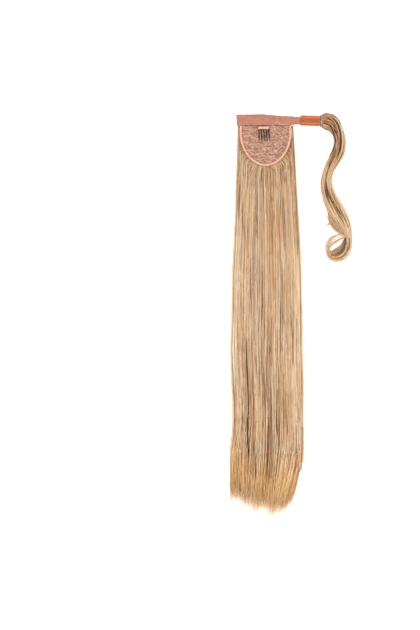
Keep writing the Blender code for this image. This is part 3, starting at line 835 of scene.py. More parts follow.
@dataclass
class Bundle:
    """Strands of one kind, gathered as runs of points and made into tubes at once."""

    name: str
    finish: Finish
    slot: str
    sides: int = 3
    frizz: float = 0
    seed: float = 1
    runs: list[tuple[Array, Array, Array, Array, Array]] = field(default_factory=list)

    def add(self, points: Array, thick: Array | float, streak: Array | None = None,
            tip: Array | None = None, tone: Array | float = 0) -> "Bundle":
        """Adds strands of equally many points.

        Args:
            points: Strands by points by three.
            thick: Radius at each point, or one for all.
            streak: Place across, place along and random value at each point.
            tip: Share of the way from root to tip at each point.
            tone: How much lighter or darker the hair is at each point.

        Returns:
            The bundle itself, so that calls can follow one another.
        """
        count = points.shape[:2]
        even = np.broadcast_to(shares(count[1]), count)
        self.runs.append((points, np.broadcast_to(thick, count),
                          np.zeros(count + (3,)) if streak is None else streak, even if tip is None else tip,
                          np.broadcast_to(tone, count)))
        return self

    def build(self) -> Piece:
        """The object with all tubes.

        Returns:
            The piece, with its marks for the hair's finish.
        """
        starts, chains = 0, []
        for points, *_ in self.runs:
            strands, steps = points.shape[:2]
            numbers = starts + np.arange(strands * steps).reshape(strands, steps)
            chains.append(np.stack([numbers[:, :-1], numbers[:, 1:]], axis=-1).reshape(-1, 2))
            starts += strands * steps
        points, thick, streak, tip, tone = (
            np.vstack([run[part].reshape(-1, 3 if part in (0, 2) else 1) for run in self.runs]) for part in range(5))
        edges = np.vstack(chains)
        lines = bpy.data.meshes.new(self.name)
        lines.vertices.add(starts)
        lines.vertices.foreach_set("co", (points + DATUM).astype(np.float32).ravel())
        lines.edges.add(len(edges))
        lines.edges.foreach_set("vertices", edges.astype(np.int32).ravel())
        for key, values in (("thick", thick[:, 0]), ("streak", streak), ("tip", tip[:, 0]), ("tone", tone[:, 0])):
            mark(lines, key, values)
        mesh = TUBES.tubes(self.name, lines, self.sides, self.frizz, self.seed, self.finish)
        return fitted(self.name, mesh, self.finish, self.slot)


@dataclass
class HairForm:
    """Outline and heights of the whole hair, as in the CAD model."""

    length: float = 0.588
    width: float = 0.11
    height: float = 0.019
    offset: float = -0.0012
    root_spread: float = 0.0025
    base_reach: float = BASE_DEPTH + GAP
    under_base: float = 0.0016
    outline: Rows = (
        (0.163, -0.393, 0.44), (0.265, -0.41, 0.468), (0.367, -0.438, 0.495), (0.469, -0.445, 0.509),
        (0.571, -0.465, 0.509), (0.673, -0.443, 0.522), (0.724, -0.427, 0.522), (0.776, -0.439, 0.526),
        (0.827, -0.468, 0.536), (1, -0.45, 0.48))
    root_rows: Rows = (
        (0, 0.8, 1, 1), (0.01, 0.43, 1, 1), (0.02, 0.18, 0.86, 1), (0.03, 0.05, 0.74, 1), (0.04, 0, 0.64, 0.9),
        (0.0613, 0, 0.475, 0.8), (0.075, 0, 0.4, 0.71), (0.0997, 0, 0.34, 0.66), (0.1298, 0, 0.33, 0.66))
    free_rows: Rows = (
        (0.026, 0.9), (0.073, 0.97), (0.13, 1), (0.2, 1), (0.27, 0.99), (0.34, 1), (0.41, 0.98), (0.48, 0.96),
        (0.55, 0.92), (0.61, 0.89), (0.67, 0.85), (0.73, 0.78), (0.795, 0.68), (1, 0.21))
    tips: Rows = (
        (0, 0.966), (0.07, 0.98), (0.2, 0.996), (0.4, 1.01), (0.75, 1.014), (0.85, 1.012), (0.93, 1.002), (1, 0.98))

    def sides(self, down: Array) -> tuple[Array, Array]:
        """Left and right side at distances below the strap.

        Args:
            down: Distances.

        Returns:
            x of both sides.
        """
        share = down / self.length
        left = self.offset + self.width * lookup(self.outline, share, 1)
        right = self.offset + self.width * lookup(self.outline, share, 2)
        near = held(1 - share / self.outline[0][0])
        root = BASE_WIDTH / 2 + self.root_spread
        return left * (1 - near) - root * near, right * (1 - near) + root * near

    def course(self, x: Array, down: Array) -> Array:
        """Where a point lies across the hair, as the streaks' own coordinate."""
        left, right = self.sides(down)
        return 0.05 * (2 * x - left - right) / (right - left)

    def top(self, down: Array) -> Array:
        """Greatest height of the hair: the base's underside, then its own.

        Args:
            down: Distances below the strap.

        Returns:
            Heights over the surface.
        """
        under = BASE_LIFT + down * math.tan(BASE_TILT) - self.under_base / math.cos(BASE_TILT)
        free = self.height * lookup(self.free_rows, (down - self.base_reach) / (self.length - self.base_reach), 1)
        share = held((down - self.base_reach) / 0.0137)
        return under * (1 - share) + free * share

    def level(self, down: Array, column: int) -> Array:
        """Height of the floor (1), the lower seam (2) or the upper seam (3)."""
        return self.top(down) * lookup(self.root_rows, down, column)

    def reach(self, across: Array) -> Array:
        """How far down the tips lie at places from -1 to 1 across the hair."""
        return self.length * lookup(self.tips, (across + 1) / 2, 1)


@dataclass
class HairTier:
    """One tier of hair: an under-body and the strands that show on it."""

    name: str
    node: str
    start: float
    root_inset: float
    side_inset: float
    reach: float
    floor: int
    ceiling: int
    arch: float
    top_strands: int
    side_strands: int
    tip_strands: int
    bottom_strands: int
    seed: int
    form: HairForm = field(default_factory=HairForm)
    steps: int = 17
    radius: float = 0.0003
    fan: float = 0.04
    clumps: int = 30
    # How much lighter the tier's sides are painted, as painted light.
    rim: float = 0.34
    sway: float = 0.0007
    sway_length: float = 0.21
    ripple_size: float = 0.0002
    spread: float = 0.0022
    tip_radius: float = 0.7

    def sides(self, down: Array) -> tuple[Array, Array]:
        """Left and right side of the tier, which fans out from its weft.

        Args:
            down: Distances below the strap.

        Returns:
            x of both sides.
        """
        left, right = self.form.sides(down)
        share = held(1 - (down - self.start) / self.fan)
        inset = self.side_inset + (self.root_inset - self.side_inset) * share
        return left + inset, right - inset

    def levels(self, down: Array, across: Array) -> tuple[Array, Array]:
        """Bottom and top height at places from -1 to 1 across the tier.

        Args:
            down: Distances below the strap.
            across: The places.

        Returns:
            Both heights.
        """
        bottom = self.form.level(down, self.floor)
        top = self.form.top(down) if self.ceiling == 0 else self.form.level(down, self.ceiling)
        arched = bottom + (top - bottom) * (1 - self.arch * held(np.abs(across)) ** 2)
        rounding = 1 - held((np.abs(across) - 0.93) / 0.07) ** 2 * 0.6
        middle = (bottom + arched) / 2
        return middle - (middle - bottom) * rounding, middle + (arched - middle) * rounding

    def roof(self, x: Array, down: Array) -> Array:
        """Top height of the tier at places x across and down from the strap.

        Args:
            x: Places from the datum.
            down: Distances below the strap.

        Returns:
            Heights over the surface.
        """
        left, right = self.sides(np.maximum(down, 0.03))
        across = np.clip((x - (left + right) / 2) / ((right - left) / 2), -1, 1)
        return self.levels(down, across)[1]

    def body(self) -> Piece:
        """The solid under the strands, which ends before the tips.

        Returns:
            The under-body.
        """
        across = np.linspace(-1, 1, 61)
        share = shares(70)
        end = self.form.reach(across) * self.reach - 0.062
        down = self.start + share[:, None] * (end - self.start)
        place = np.broadcast_to(across, down.shape)
        left, right = self.sides(down)
        close = 1 - 0.35 * ease((share - 0.86) / 0.14)[:, None]
        x = (left + right) / 2 + (right - left) / 2 * place * 0.975
        bottom, top = self.levels(down, place)
        ridge = 0.0004 * np.sin(place * 95 + 3 * np.sin(down * 9)) + 0.0003 * np.sin(place * 213 + down * 20)
        sunk = np.clip((top - bottom) * 0.3, 0, 0.0014)
        centre = (top + bottom) / 2
        top = centre + (top - centre - sunk) * close + ridge
        bottom = centre - (centre - bottom) * close + 0.0006
        top = np.maximum(top, bottom + 0.0003)
        marks = joined(self.form.course(x, down), down, 0.35).reshape(-1, 3)
        tips = (down / self.form.length).ravel() * 0.8
        tone = self.tone(down, place).ravel()
        return solid(self.name + "_under", *shell(joined(x, -down, top), joined(x, -down, bottom)), HAIR_UNDER, "hair",
                     {"streak": np.tile(marks, (2, 1)), "tip": np.tile(tips, 2), "tone": np.tile(tone, 2)})

    def tone(self, down: Array, across: Array) -> Array:
        """Painted shade at the roots under the binding, a little darker in the lower half, and lighter at the tips and
        at the sides as painted light; the paler tips are partly the hair's own colour.

        Args:
            down: Distances below the strap.
            across: Places from -1 to 1 across.

        Returns:
            What is added to the hair's tone.
        """
        total = down / self.form.length
        # root: painted shade under the binding's edge.
        root = -0.09 * (1 - ease((total - 0.16) / 0.28))
        # low: a little darker in the lower half; the lift at the tips is partly the hair's own paler ends, partly
        # painted light.
        low = -0.06 * ease((total - 0.5) / 0.2) + 0.42 * ease((total - 0.88) / 0.12)
        # side: painted light, the tier's edges lighter where the tiers shade one another and light shows through the
        # thin edges.
        side = self.rim * held((np.abs(across) - 0.87) / 0.08) * ease((total - 0.06) / 0.12)
        return root + low + side

    def grow(self, rng: Random, across: Array, height: Array, first: Array, steps: int,
             short: float) -> tuple[Array, Array, Array, Array, Array]:
        """Courses of strands along the tier.

        Args:
            rng: Source of the small differences.
            across: Each strand's place from -1 to 1.
            height: Each strand's height from 0 at the tier's bottom to 1 at its top.
            first: How far down each strand starts.
            steps: Points of each strand.
            short: Greatest distance by which a strand falls short of the tips.

        Returns:
            Points, radius, streak marks, share from root to tip and tone, each by strand and point.
        """
        count = len(across)
        run = shares(steps)
        run = run - 0.06 * np.sin(math.tau * run)
        end = self.form.reach(across) * self.reach - short * rng.random(count) ** 0.48
        down = first[:, None] + (end - first)[:, None] * run
        clump = np.clip(np.round((across + 1) / 2 * self.clumps + rng.normal(0, 0.3, count)), 0, self.clumps)
        clump = clump.astype(int)
        nudge = rng.normal(0, 0.35, self.clumps + 1) / self.clumps
        centre = (clump / self.clumps) * 2 - 1 + nudge[clump]
        total = down / self.form.length
        pull = lookup(((0, 0), (0.12, 0.05), (0.35, 0.12), (0.7, 0.16), (0.88, 0.2), (1, 0.16)), total, 1)
        place = across[:, None] + (centre - across)[:, None] * pull
        left, right = self.sides(down)
        x = (left + right) / 2 + (right - left) / 2 * place
        phase = rng.uniform(0, math.tau, self.clumps + 1)[clump][:, None]
        swing = rng.uniform(0.3, 1, self.clumps + 1)[clump][:, None]
        free = ease((total - 0.12) / 0.3)
        x = x + self.sway * swing * free * np.sin(math.tau * down / self.sway_length + phase)
        x = x + self.ripple_size * free * np.sin(math.tau * down / 0.09 + phase * 3 + across[:, None] * 9)
        own = rng.uniform(0, math.tau, count)[:, None]
        x = x + self.ripple_size * free * np.sin(math.tau * down / 0.13 + own)
        course = np.broadcast_to(0.05 * across[:, None], down.shape)
        bend = np.clip((total - 0.8) / 0.2, 0, 1.1) ** 1.3
        turned = held((place - 0.1) / 0.9) ** 1.4 * np.clip((total - 0.84) / 0.14, 0, 1.2) ** 1.2
        x = x - (0.003 + 0.002 * (place + 1)) * bend - 0.0115 * turned
        x = x + rng.normal(0, self.spread, count)[:, None] * ease((total - 0.82) / 0.18) ** 2
        bottom, top = self.levels(down, place)
        z = bottom + (top - bottom) * height[:, None]
        z = z + 0.0003 * free * np.sin(math.tau * down / 0.17 + phase * 2)
        z = np.maximum(z, self.radius)
        slim = 1 - 0.75 * ease((run - 0.9) / 0.1)
        thick = self.radius * rng.uniform(0.75, 1.2, count)[:, None] * slim
        streak = joined(course, down, rng.random(count)[:, None])
        tip = np.broadcast_to(run, down.shape)
        return joined(x, -down, z), thick, streak, tip, self.tone(down, place)

    def emerge(self, points: Array) -> Array:
        """Draws the roots in a little under the base's edge.

        Args:
            points: Strands by points by three, changed in place.

        Returns:
            The points.
        """
        down = -points[..., 1]
        points[..., 0] *= 1 - 0.05 * (1 - ease((down - 0.055) / 0.02))
        return points

    def strands(self) -> Piece:
        """The strands on the tier's top, sides and bottom and at its tips.

        Returns:
            The strands.
        """
        rng = seeded(self.seed)
        bundle = Bundle(self.name + "_strands", HAIR, "hair", frizz=0.0004, seed=float(self.seed))
        if self.top_strands:
            across = np.clip(rng.uniform(-1, 1, self.top_strands), -0.999, 0.999)
            height = 1 - np.minimum(rng.exponential(0.1, self.top_strands), 0.32)
            edge = np.sqrt(held(1 - (across * 1.1) ** 2))
            first = np.maximum(0.012 + 0.044 * edge, self.start - 0.012)
            grown = self.grow(rng, across, height, first, self.steps, 0.056)
            bundle.add(self.emerge(grown[0]), *grown[1:])
        if self.side_strands:
            side = rng.choice([-1, 1], self.side_strands)
            across = side * (1 - np.minimum(rng.exponential(0.07, self.side_strands), 0.25))
            height = rng.random(self.side_strands) ** 0.5
            first = self.start + rng.uniform(0, 0.004, self.side_strands)
            bundle.add(*self.grow(rng, across, height, first, self.steps, 0.058))
        if self.tip_strands:
            across = rng.uniform(-1, 1, self.tip_strands)
            height = rng.uniform(0.05, 0.7, self.tip_strands)
            first = rng.uniform(0.4, 0.46, self.tip_strands)
            points, thick, streak, _, tone = self.grow(rng, across, height, first, 8, 0.052)
            bundle.add(points, thick * self.tip_radius, streak, -points[..., 1] / self.form.length, tone)
        if self.bottom_strands:
            across = rng.uniform(-1, 1, self.bottom_strands)
            height = np.minimum(rng.exponential(0.05, self.bottom_strands), 0.15)
            first = self.start + rng.uniform(0, 0.004, self.bottom_strands)
            bundle.add(*self.grow(rng, across, height, first, self.steps - 3, 0.058))
        return bundle.build()

    def dress(self) -> None:
        """Builds the tier and hides its CAD solid."""
        for piece in (self.body(), self.strands()):
            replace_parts(piece, self.node)


@dataclass
class RootFringe:
    """Strands that come out from under the binding square to it and bend down over the hair."""

    tier: HairTier
    strands: int = 520
    steps: int = 13
    seed: int = 51
    radius: float = 0.0003
    tucked: float = 0.003

    def build(self) -> Piece:
        """The fringe, whose ends sink into the hair below.

        Returns:
            The fringe.
        """
        rng = seeded(self.seed)
        form = self.tier.form
        turn = np.sort(rng.uniform(math.radians(24), math.radians(156), self.strands))
        edge, out = round_edge(turn)
        length = rng.uniform(0.035, 0.11, self.strands)
        run = shares(self.steps) ** 1.7
        bend = rng.uniform(0.012, 0.03, self.strands) * (0.16 + 0.84 * np.sin(turn) ** 1.5)
        lean = rng.normal(0, 0.1, self.strands)
        places = [edge - out * self.tucked]
        for before, after in zip(run, run[1:]):
            gone = (before + after) / 2 * length
            share = ease((gone - 0.003) / bend)[:, None]
            slope = joined(lean * 0.15 + places[-1][:, 0] * 0.9, np.full(self.strands, -1))
            way = unit(out * (1 - share) + slope * share)
            places.append(places[-1] + way * ((after - before) * length)[:, None])
        plan = np.stack(places, axis=1)
        down = -plan[..., 1]
        gone = run * length[:, None]
        lift = 0.0012 * np.sin(math.pi * held((gone - 0.004) / 0.034)) - 0.0016 * ease((run - 0.6) / 0.4)
        z = self.tier.roof(plan[..., 0], down) + lift + rng.normal(0, 0.0003, self.strands)[:, None]
        chance = np.broadcast_to(rng.random(self.strands)[:, None], down.shape)
        course = form.course(plan[:, -1:, 0], np.maximum(down[:, -1:], 0.03))
        streak = joined(course, down, chance)
        clumps = ripple(turn, rng, ((0.1, 0.125), (0.1, 0.071)))[:, None]
        # beside: painted shade along the binding on the U's straight sides.
        beside = 0.1 * (1 - np.sin(turn))[:, None]
        tone = clumps * (1 - 0.7 * ease((gone - 0.01) / 0.05)) + 0.04
        # Painted shade: darker for the first few millimetres out from under the binding.
        tone = tone - 0.12 * (1 - ease((gone - 0.002) / 0.01)) - beside
        bundle = Bundle("hair_root_fringe", HAIR, "hair", frizz=0.0004, seed=6)
        thick = self.radius * (1 - 0.6 * ease((run - 0.7) / 0.3))
        return bundle.add(np.dstack([plan, z]), thick, streak, np.full(down.shape, 0.1), tone).build()

    def dress(self) -> None:
        """Builds the fringe as part of the tier."""
        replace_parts(self.build(), self.tier.node)


@dataclass
class PartingShadeAndWisps:
    """Thin dark lines of painted shade where the top hair parts, and the pale wisps outside its sides."""

    tier: HairTier
    seed: int = 61
    wide: float = 0.00022
    wisp_count: int = 170
    wisp_wide: float = 0.00013
    lines: Rows = (
        (-0.0288, 0.322, -0.0248, 0.44, 13), (-0.0262, 0.43, -0.0262, 0.5, 6), (-0.014, 0.115, -0.0125, 0.17, 3),
        (0.0455, 0.125, 0.048, 0.19, 3), (-0.005, 0.2, -0.006, 0.3, 3), (0.005, 0.43, 0.003, 0.51, 4),
        (0.017, 0.39, 0.018, 0.48, 3), (0.03, 0.4, 0.033, 0.47, 3), (-0.017, 0.47, -0.014, 0.53, 3),
        (0.011, 0.13, 0.0115, 0.2, 2), (0.026, 0.1, 0.028, 0.19, 2), (-0.033, 0.11, -0.035, 0.16, 2),
        (0.047, 0.44, 0.044, 0.52, 3), (-0.01, 0.32, -0.0105, 0.41, 2), (0.023, 0.25, 0.0225, 0.34, 2),
        (0.04, 0.27, 0.041, 0.36, 2), (-0.04, 0.24, -0.042, 0.33, 2), (-0.022, 0.22, -0.0215, 0.29, 2),
        (0, 0.34, 0.001, 0.42, 2))

    def dark(self) -> Piece:
        """The dark lines of painted shade, sunk at both ends.

        Returns:
            The lines.
        """
        rng = seeded(self.seed)
        bundle = Bundle("hair_parting_shade", HAIR_UNDER, "hair", frizz=0.0005, seed=7)
        share = shares(12)
        for start_x, start, end_x, end, count in self.lines:
            offset = rng.normal(0, 0.00035, count)[:, None]
            down = start + (end - start) * (share + rng.uniform(-0.12, 0.12, count)[:, None])
            x = start_x + (end_x - start_x) * share + offset + 0.0006 * np.sin(share * 5 + start_x * 99)
            z = self.tier.roof(x, down) + 0.0008 - 0.0022 * (2 * share - 1) ** 6
            streak = joined(x, down, 0.1)
            # Painted shade: darkest in the long partings.
            tone = -0.45 if count > 5 else -0.05
            bundle.add(joined(x, -down, z), self.wide, streak, np.full_like(down, 0.3), tone)
        return bundle.build()

    def wisps(self) -> Piece:
        """Fine pale hairs that stand off the sides.

        Returns:
            The wisps.
        """
        rng = seeded(self.seed + 1)
        form = self.tier.form
        count = self.wisp_count
        side = rng.choice([-1, 1], count)
        start = rng.uniform(0.03, 0.42, count)
        length = rng.uniform(0.07, 0.2, count)
        share = shares(14)
        down = np.minimum(start[:, None] + length[:, None] * share, 0.505)
        left, right = form.sides(down)
        edge = np.where(side[:, None] < 0, left, right)
        out = rng.exponential(0.0011, count)[:, None] * np.sin(math.pi * share) ** 0.7
        x = edge + side[:, None] * (out - 0.0012)
        z = rng.uniform(0.001, 0.01, count)[:, None]
        streak = joined(x + 3, down, 0.9)
        bundle = Bundle("hair_side_wisps", HAIR, "hair", frizz=0.0022, seed=9)
        return bundle.add(joined(x, -down, z), self.wisp_wide, streak, np.full_like(down, 0.93), 0.25).build()

    def dress(self) -> None:
        """Builds the lines and the wisps as part of the tier."""
        for piece in (self.dark(), self.wisps()):
            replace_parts(piece, self.tier.node)


@dataclass(frozen=True)
class Lock:
    """A few strands of the wrap strand that go their own way, by points in millimetres."""

    points: Rows
    count: int
    spread: float
    thin: float = 0.00024
    tone: float = 0.05


@dataclass
class WrapStrand:
    """The loose strand with its coil, sewn into the cuff."""

    strands: int = 900
    stations: int = 36
    seed: int = 71
    curl_strands: int = 330
    rows: Rows = (
        (82.9, 7.5, 17, 3, 0.8), (86.6, 7.4, 22, 4.4, 0.6), (92.4, 7, 25.8, 6.6, 0.3), (99.1, 4, 24.6, 7.8, 0),
        (103.7, -1.4, 20.8, 8, 0), (106.9, -6.6, 17.8, 8, 0), (110.4, -15, 16.6, 8, 0), (111.6, -27, 16.2, 7.6, 0),
        (109, -38, 18.4, 7.4, 0), (103.5, -50, 17.6, 7.2, 0), (97.2, -62.2, 15.2, 7, 0), (93.2, -73.5, 14.8, 6.8, 0),
        (91.7, -85.5, 16.3, 6.8, 0), (93.3, -96.3, 18.6, 6.8, 0), (97.2, -108.7, 21.4, 7.2, 0),
        (103.1, -121, 24.6, 7.4, 0), (110.2, -133.6, 24.6, 7.6, 0), (117, -144.8, 20.6, 7.6, 0),
        (122.2, -155.1, 14.6, 7.4, 0), (124.7, -164.2, 10.2, 6.8, 0))
    coil_rows: Rows = (
        (125.6, -170.2, 8.6, 6.4, 0), (125.7, -175.5, 8.2, 6.2, 0), (125.2, -181.5, 9.4, 6.2, 0),
        (122.2, -190.3, 9.4, 6.2, 0), (117, -196.2, 9, 6, 0), (111.2, -198.8, 8.6, 5.8, 0),
        (104.7, -199.6, 8, 5.6, 0), (99.1, -198, 6.6, 5.2, 0), (95, -193.8, 6, 4.8, 0), (93, -186.3, 5.6, 4.4, 0),
        (92.7, -179.4, 4.8, 4, 0), (95.6, -171.6, 4.2, 3.6, 0.4), (100.9, -166, 2.6, 3.2, 0.6),
        (106.2, -163.8, 1.8, 2.8, 0.8), (113.2, -161.6, 1.4, 2.4, 1.2), (120, -161, 0.9, 2.2, 1.4))
    chord: Rows = (
        (96.7, -188.2), (101.2, -186.2), (105.4, -183.4), (109.5, -181), (113.2, -177.6), (115.8, -173.6),
        (118.6, -168.6))
    arc: Rows = (
        (96.4, -189.4), (98, -193.9), (102, -196.6), (107.4, -196), (114.6, -192.4), (119.9, -185.6), (122, -176.4),
        (122.2, -168.4))
    section: Rows = (
        (-1, 0.3), (-0.72, 0.8), (-0.42, 0.68), (-0.05, 1), (0.34, 0.74), (0.66, 0.88), (1, 0.3))
    gaps: Rows = (
        (0.56, -1.5, 0.04, 0.3, 0.12), (0, -0.4, 0.06, 0.17, 0.05), (-0.45, 0.6, 0.05, 0.2, 0.06),
        (0.85, -1.2, 0.16, 0.3, 0.05), (-0.35, 0.8, 0.22, 0.36, 0.06), (-0.5, 0.9, 0.33, 0.53, 0.12),
        (0.55, -0.6, 0.38, 0.58, 0.09), (0.1, 0.6, 0.4, 0.6, 0.08), (-0.7, 0.7, 0.42, 0.57, 0.06),
        (-0.44, 0, 0.62, 0.86, 0.12), (0.3, 0.2, 0.64, 0.8, 0.05))
    locks: tuple[Lock, ...] = (
        Lock(((100.4, 11.8, 7.4), (104.4, 7.8, 8), (107.4, 3.2, 8.3), (110.1, -3.8, 8.4), (111.8, -10.8, 8.4),
            (112.3, -19.5, 8.3), (112.1, -30, 8), (110.4, -38, 7.8), (107, -46.5, 6.6)), 22, 0.00034, tone=-0.75),
        Lock(((96, 12.8, 7.4), (101, 8.6, 8), (104.8, 3.6, 8.3), (107.8, -3, 8.5), (109.6, -10.5, 8.5),
            (110.2, -19, 8.4), (110, -28, 8)), 14, 0.00028, tone=0.12),
        Lock(((92, 14, 6.9), (98, 9.6, 7.8), (102.4, 4.2, 8.2), (105.2, -3, 8.3),
            (106.6, -11, 8.3)), 10, 0.00028, tone=-0.3),
        Lock(((88, 10, 5.2), (94, 7.2, 7), (98.4, 2.4, 7.6), (101.2, -4, 7.8),
            (103.6, -12, 7.6)), 12, 0.00028, tone=0.1),
        Lock(((88, 5, 4.8), (93.4, 2.6, 6.6), (97.4, -1.6, 7), (100.4, -8, 7),
            (102.6, -15, 6.8)), 10, 0.00028, tone=-0.24),
        Lock(((103.2, 12.4, 7.2), (107.2, 8.4, 7.8), (110.9, 2, 8.2), (113.4, -5, 8.2), (115, -15, 8.2),
            (115.3, -27, 7.8), (113.5, -38, 7.4), (109, -47, 6.6)), 20, 0.0004, tone=0.26),
        Lock(((99.5, -3, 6.2), (102.9, -11, 6.4), (104.8, -19.5, 6.4), (104.6, -27, 6.2), (101.4, -36.5, 6),
            (97, -45, 5)), 18, 0.0006, tone=-0.45),
        Lock(((105.6, -33, 7.6), (102.6, -42, 7.6), (98, -52, 7.2), (93.8, -63, 6.8)), 14, 0.0005, tone=-0.4),
        Lock(((90.6, -82, 6.6), (91.2, -92, 6.8), (93.4, -101.5, 7), (97.2, -110.5, 7.2),
            (102, -119, 6.6)), 20, 0.0005, tone=-0.6),
        Lock(((95.4, -92, 6.9), (98.2, -102.5, 7.2), (102.8, -112, 7.4), (108.4, -121.5, 7.4),
            (113.6, -131, 7.2)), 14, 0.0004, tone=0.24),
        Lock(((103.6, -108.5, 7.2), (108.8, -119.5, 7.5), (114.9, -130.5, 7.7), (120.6, -142, 7.4),
            (123.9, -152, 6.8)), 14, 0.00028, tone=-0.4),
        Lock(((100.4, -113, 7.2), (105.6, -124, 7.4), (111.4, -134.5, 7.6), (117, -144.5, 7.4),
            (121, -153.5, 6.8)), 12, 0.00028, tone=-0.25),
        Lock(((126.2, -168, 6.8), (125.9, -176, 6.6), (125.5, -182.3, 6.5),
            (123.6, -187, 6)), 14, 0.00028, tone=-0.52),
        Lock(((123.5, -180, 6.5), (122.6, -185.5, 6.5), (120.6, -190, 6.5), (116.6, -194.2, 6.3), (111.4, -197.2, 6),
            (105, -198, 5.4)), 16, 0.0003, tone=-0.36),
        Lock(((121, -178, 5.8), (120.5, -184.4, 6.1), (118.2, -189.4, 6.1), (113.6, -193.9, 6), (108.4, -196.6, 5.8),
            (103, -197.2, 5.4), (98.6, -195.4, 4.6)), 26, 0.00036, tone=0.34),
        Lock(((99, -196.5, 2.6), (96.6, -190.5, 3.4), (95.7, -186.5, 3.8), (96.3, -182.3, 4), (98.7, -179.4, 4.2),
            (102.6, -175.8, 4.4), (107.1, -172.7, 5), (112.3, -169.8, 6), (117.5, -167.7, 7.2), (121.5, -166.9, 8.2),
            (125, -168.4, 7.6)), 40, 0.00036, tone=0.02),
        Lock(((94.4, -191, 3), (92.6, -183, 3.4), (93.6, -175.5, 3.2), (97.2, -168.8, 2.4),
            (101.8, -164.6, 1.8)), 44, 0.0008, tone=0.16),
        Lock(((97, -178, 1.2), (102, -172, 1.4), (108, -168.2, 1.6), (114, -165.8, 2),
            (120, -164.6, 2.6)), 30, 0.002, 9e-05, 0.32),
        Lock(((93.6, -134, 1.4), (99, -146.4, 1.2), (104.5, -153.4, 1.2), (110.5, -158, 1.6),
            (118, -161.5, 2.4)), 70, 0.0019, 0.0001, 0.32),
        Lock(((92.6, -122, 3.6), (96.4, -135, 3.2), (101.6, -145, 3), (108.6, -154, 3.4), (115.6, -160.4, 4.4),
            (121.5, -166, 5)), 90, 0.001, tone=0.08),
        Lock(((95, -128, 3), (98.6, -139, 2.4), (96.6, -145, 1.8), (92.6, -148.2, 1.4),
            (89.6, -149.2, 1)), 22, 0.0007, 0.00016, 0.1),
        Lock(((85.6, -90, 3), (83, -104, 2), (85, -118, 1.6), (88.6, -131, 1.2)), 8, 0.0016, 8e-05, 0.25),
        Lock(((102.4, -6, 3), (99.9, -16, 2), (99.6, -26, 1.8), (101.8, -36, 2.4)), 9, 0.0013, 8e-05, 0.25),
        Lock(((96.6, -39, 3), (89.6, -56, 2.4), (83.9, -73, 2), (81.8, -88, 1.8),
            (83.2, -102, 1.6)), 9, 0.0013, 8e-05, 0.25),
        Lock(((118.4, -12, 2.4), (121, -28, 2), (119.2, -42, 2), (113.4, -54, 2.2)), 8, 0.0009, 8e-05, 0.3))

    def route(self) -> Array:
        """Rows of x, y, width, height and lift in metres from the head to the coil's end."""
        return np.array(self.rows + self.coil_rows) * 0.001

    def frame(self, count: int) -> tuple[Array, Array]:
        """Even stations along the route and the unit vector to the left of each.

        Args:
            count: How many stations.

        Returns:
            Stations and vectors.
        """
        stations = smooth_path(self.route(), count)
        run = unit(np.gradient(stations[:, :2], axis=0))
        return stations, joined(-run[:, 1], run[:, 0])

    def body(self) -> Piece:
        """The solid under the strands, up to the coil's thin end.

        Returns:
            The under-body.
        """
        stations, side = self.frame(150)
        stations, side = stations[:132], side[:132]
        rings = []
        for (x, y, width, height, lift), (side_x, side_y) in zip(stations, side):
            upper = [(place * 0.84, 0.1 + share * 0.66) for place, share in self.section]
            ring = upper + [(0.7, 0.12), (0, 0.12), (-0.7, 0.12)]
            rings.append([(x + side_x * place * width / 2, y + side_y * place * width / 2,
                           lift + share * height) for place, share in ring])
        rings = np.array(rings)
        middle = rings[-1].mean(axis=0)
        rings[-1] = middle + (rings[-1] - middle) * 0.4
        count = rings.shape[1]
        along = np.repeat(np.linspace(0, 0.3, len(rings)), count)
        across = np.tile([0.014 * place for place, _ in upper] + [0.01, 0, -0.01], len(rings))
        marks = joined(across + self.seed, along, 0.3)
        # The under-body is darkened as painted shade where it shows between the strands.
        return solid("wrap_strand_under", *sweep(rings), HAIR_UNDER, "hair",
                     {"streak": marks, "tip": along * 2, "tone": np.full_like(along, -0.3)})

    def run_strands(self, bundle: Bundle, rng: Random) -> None:
        """Strands along the whole strand, pushed apart at gaps where the darker under-body shows as painted shade,
        which end one after another in the coil.

        Args:
            bundle: Takes the strands.
            rng: Source of the small differences.
        """
        stations, side = self.frame(400)
        count = self.strands
        across = rng.uniform(-1, 1, count)
        clumps = 12
        clump = np.clip(np.round((across + 1) / 2 * clumps + rng.normal(0, 0.25, count)), 0, clumps).astype(int)
        centre = clump / clumps * 2 - 1
        reach = np.where(rng.uniform(size=count) < 0.45, rng.uniform(0.66, 0.92, count), rng.uniform(0.88, 1, count))
        share = shares(self.stations) * reach[:, None]
        number = share * (len(stations) - 1)
        phase = rng.uniform(0, math.tau, clumps + 1)[clump][:, None]
        free = ease(share / 0.08)
        place = across[:, None] + (centre - across)[:, None] * (0.16 + 0.22 * ease((share - 0.38) / 0.12))
        place = place + 0.05 * free * np.sin(math.tau * share * 2.6 + phase)
        for gap, slope, start, end, wide in self.gaps:
            middle = gap + slope * (share - start)
            bump = np.sin(math.pi * held((share - start) / (end - start))) ** 0.7
            off = place - middle
            place = place + np.sign(off) * wide * bump * np.exp(-np.abs(off) / 0.16)
        place = np.clip(place, -1.03, 1.03)
        x, y, width, height, lift = (np.interp(number, np.arange(len(stations)), column) for column in stations.T)
        side_x, side_y = (np.interp(number, np.arange(len(stations)), column) for column in side.T)
        crown = lookup(self.section, place, 1)
        depth = np.minimum(rng.exponential(0.14, count), 0.6)[:, None]
        z = lift + height * (crown * (1 - depth) + 0.02)
        z = np.maximum(z + 0.0004 * free * np.sin(math.tau * share * 4 + phase * 2), 0.0003)
        slim = 1 - 0.7 * ease((shares(self.stations) - 0.85) / 0.15)
        thick = 0.00028 * rng.uniform(0.75, 1.2, count)[:, None] * slim
        streak = joined(place * 0.006 + self.seed, share * 0.3, rng.random(count)[:, None])
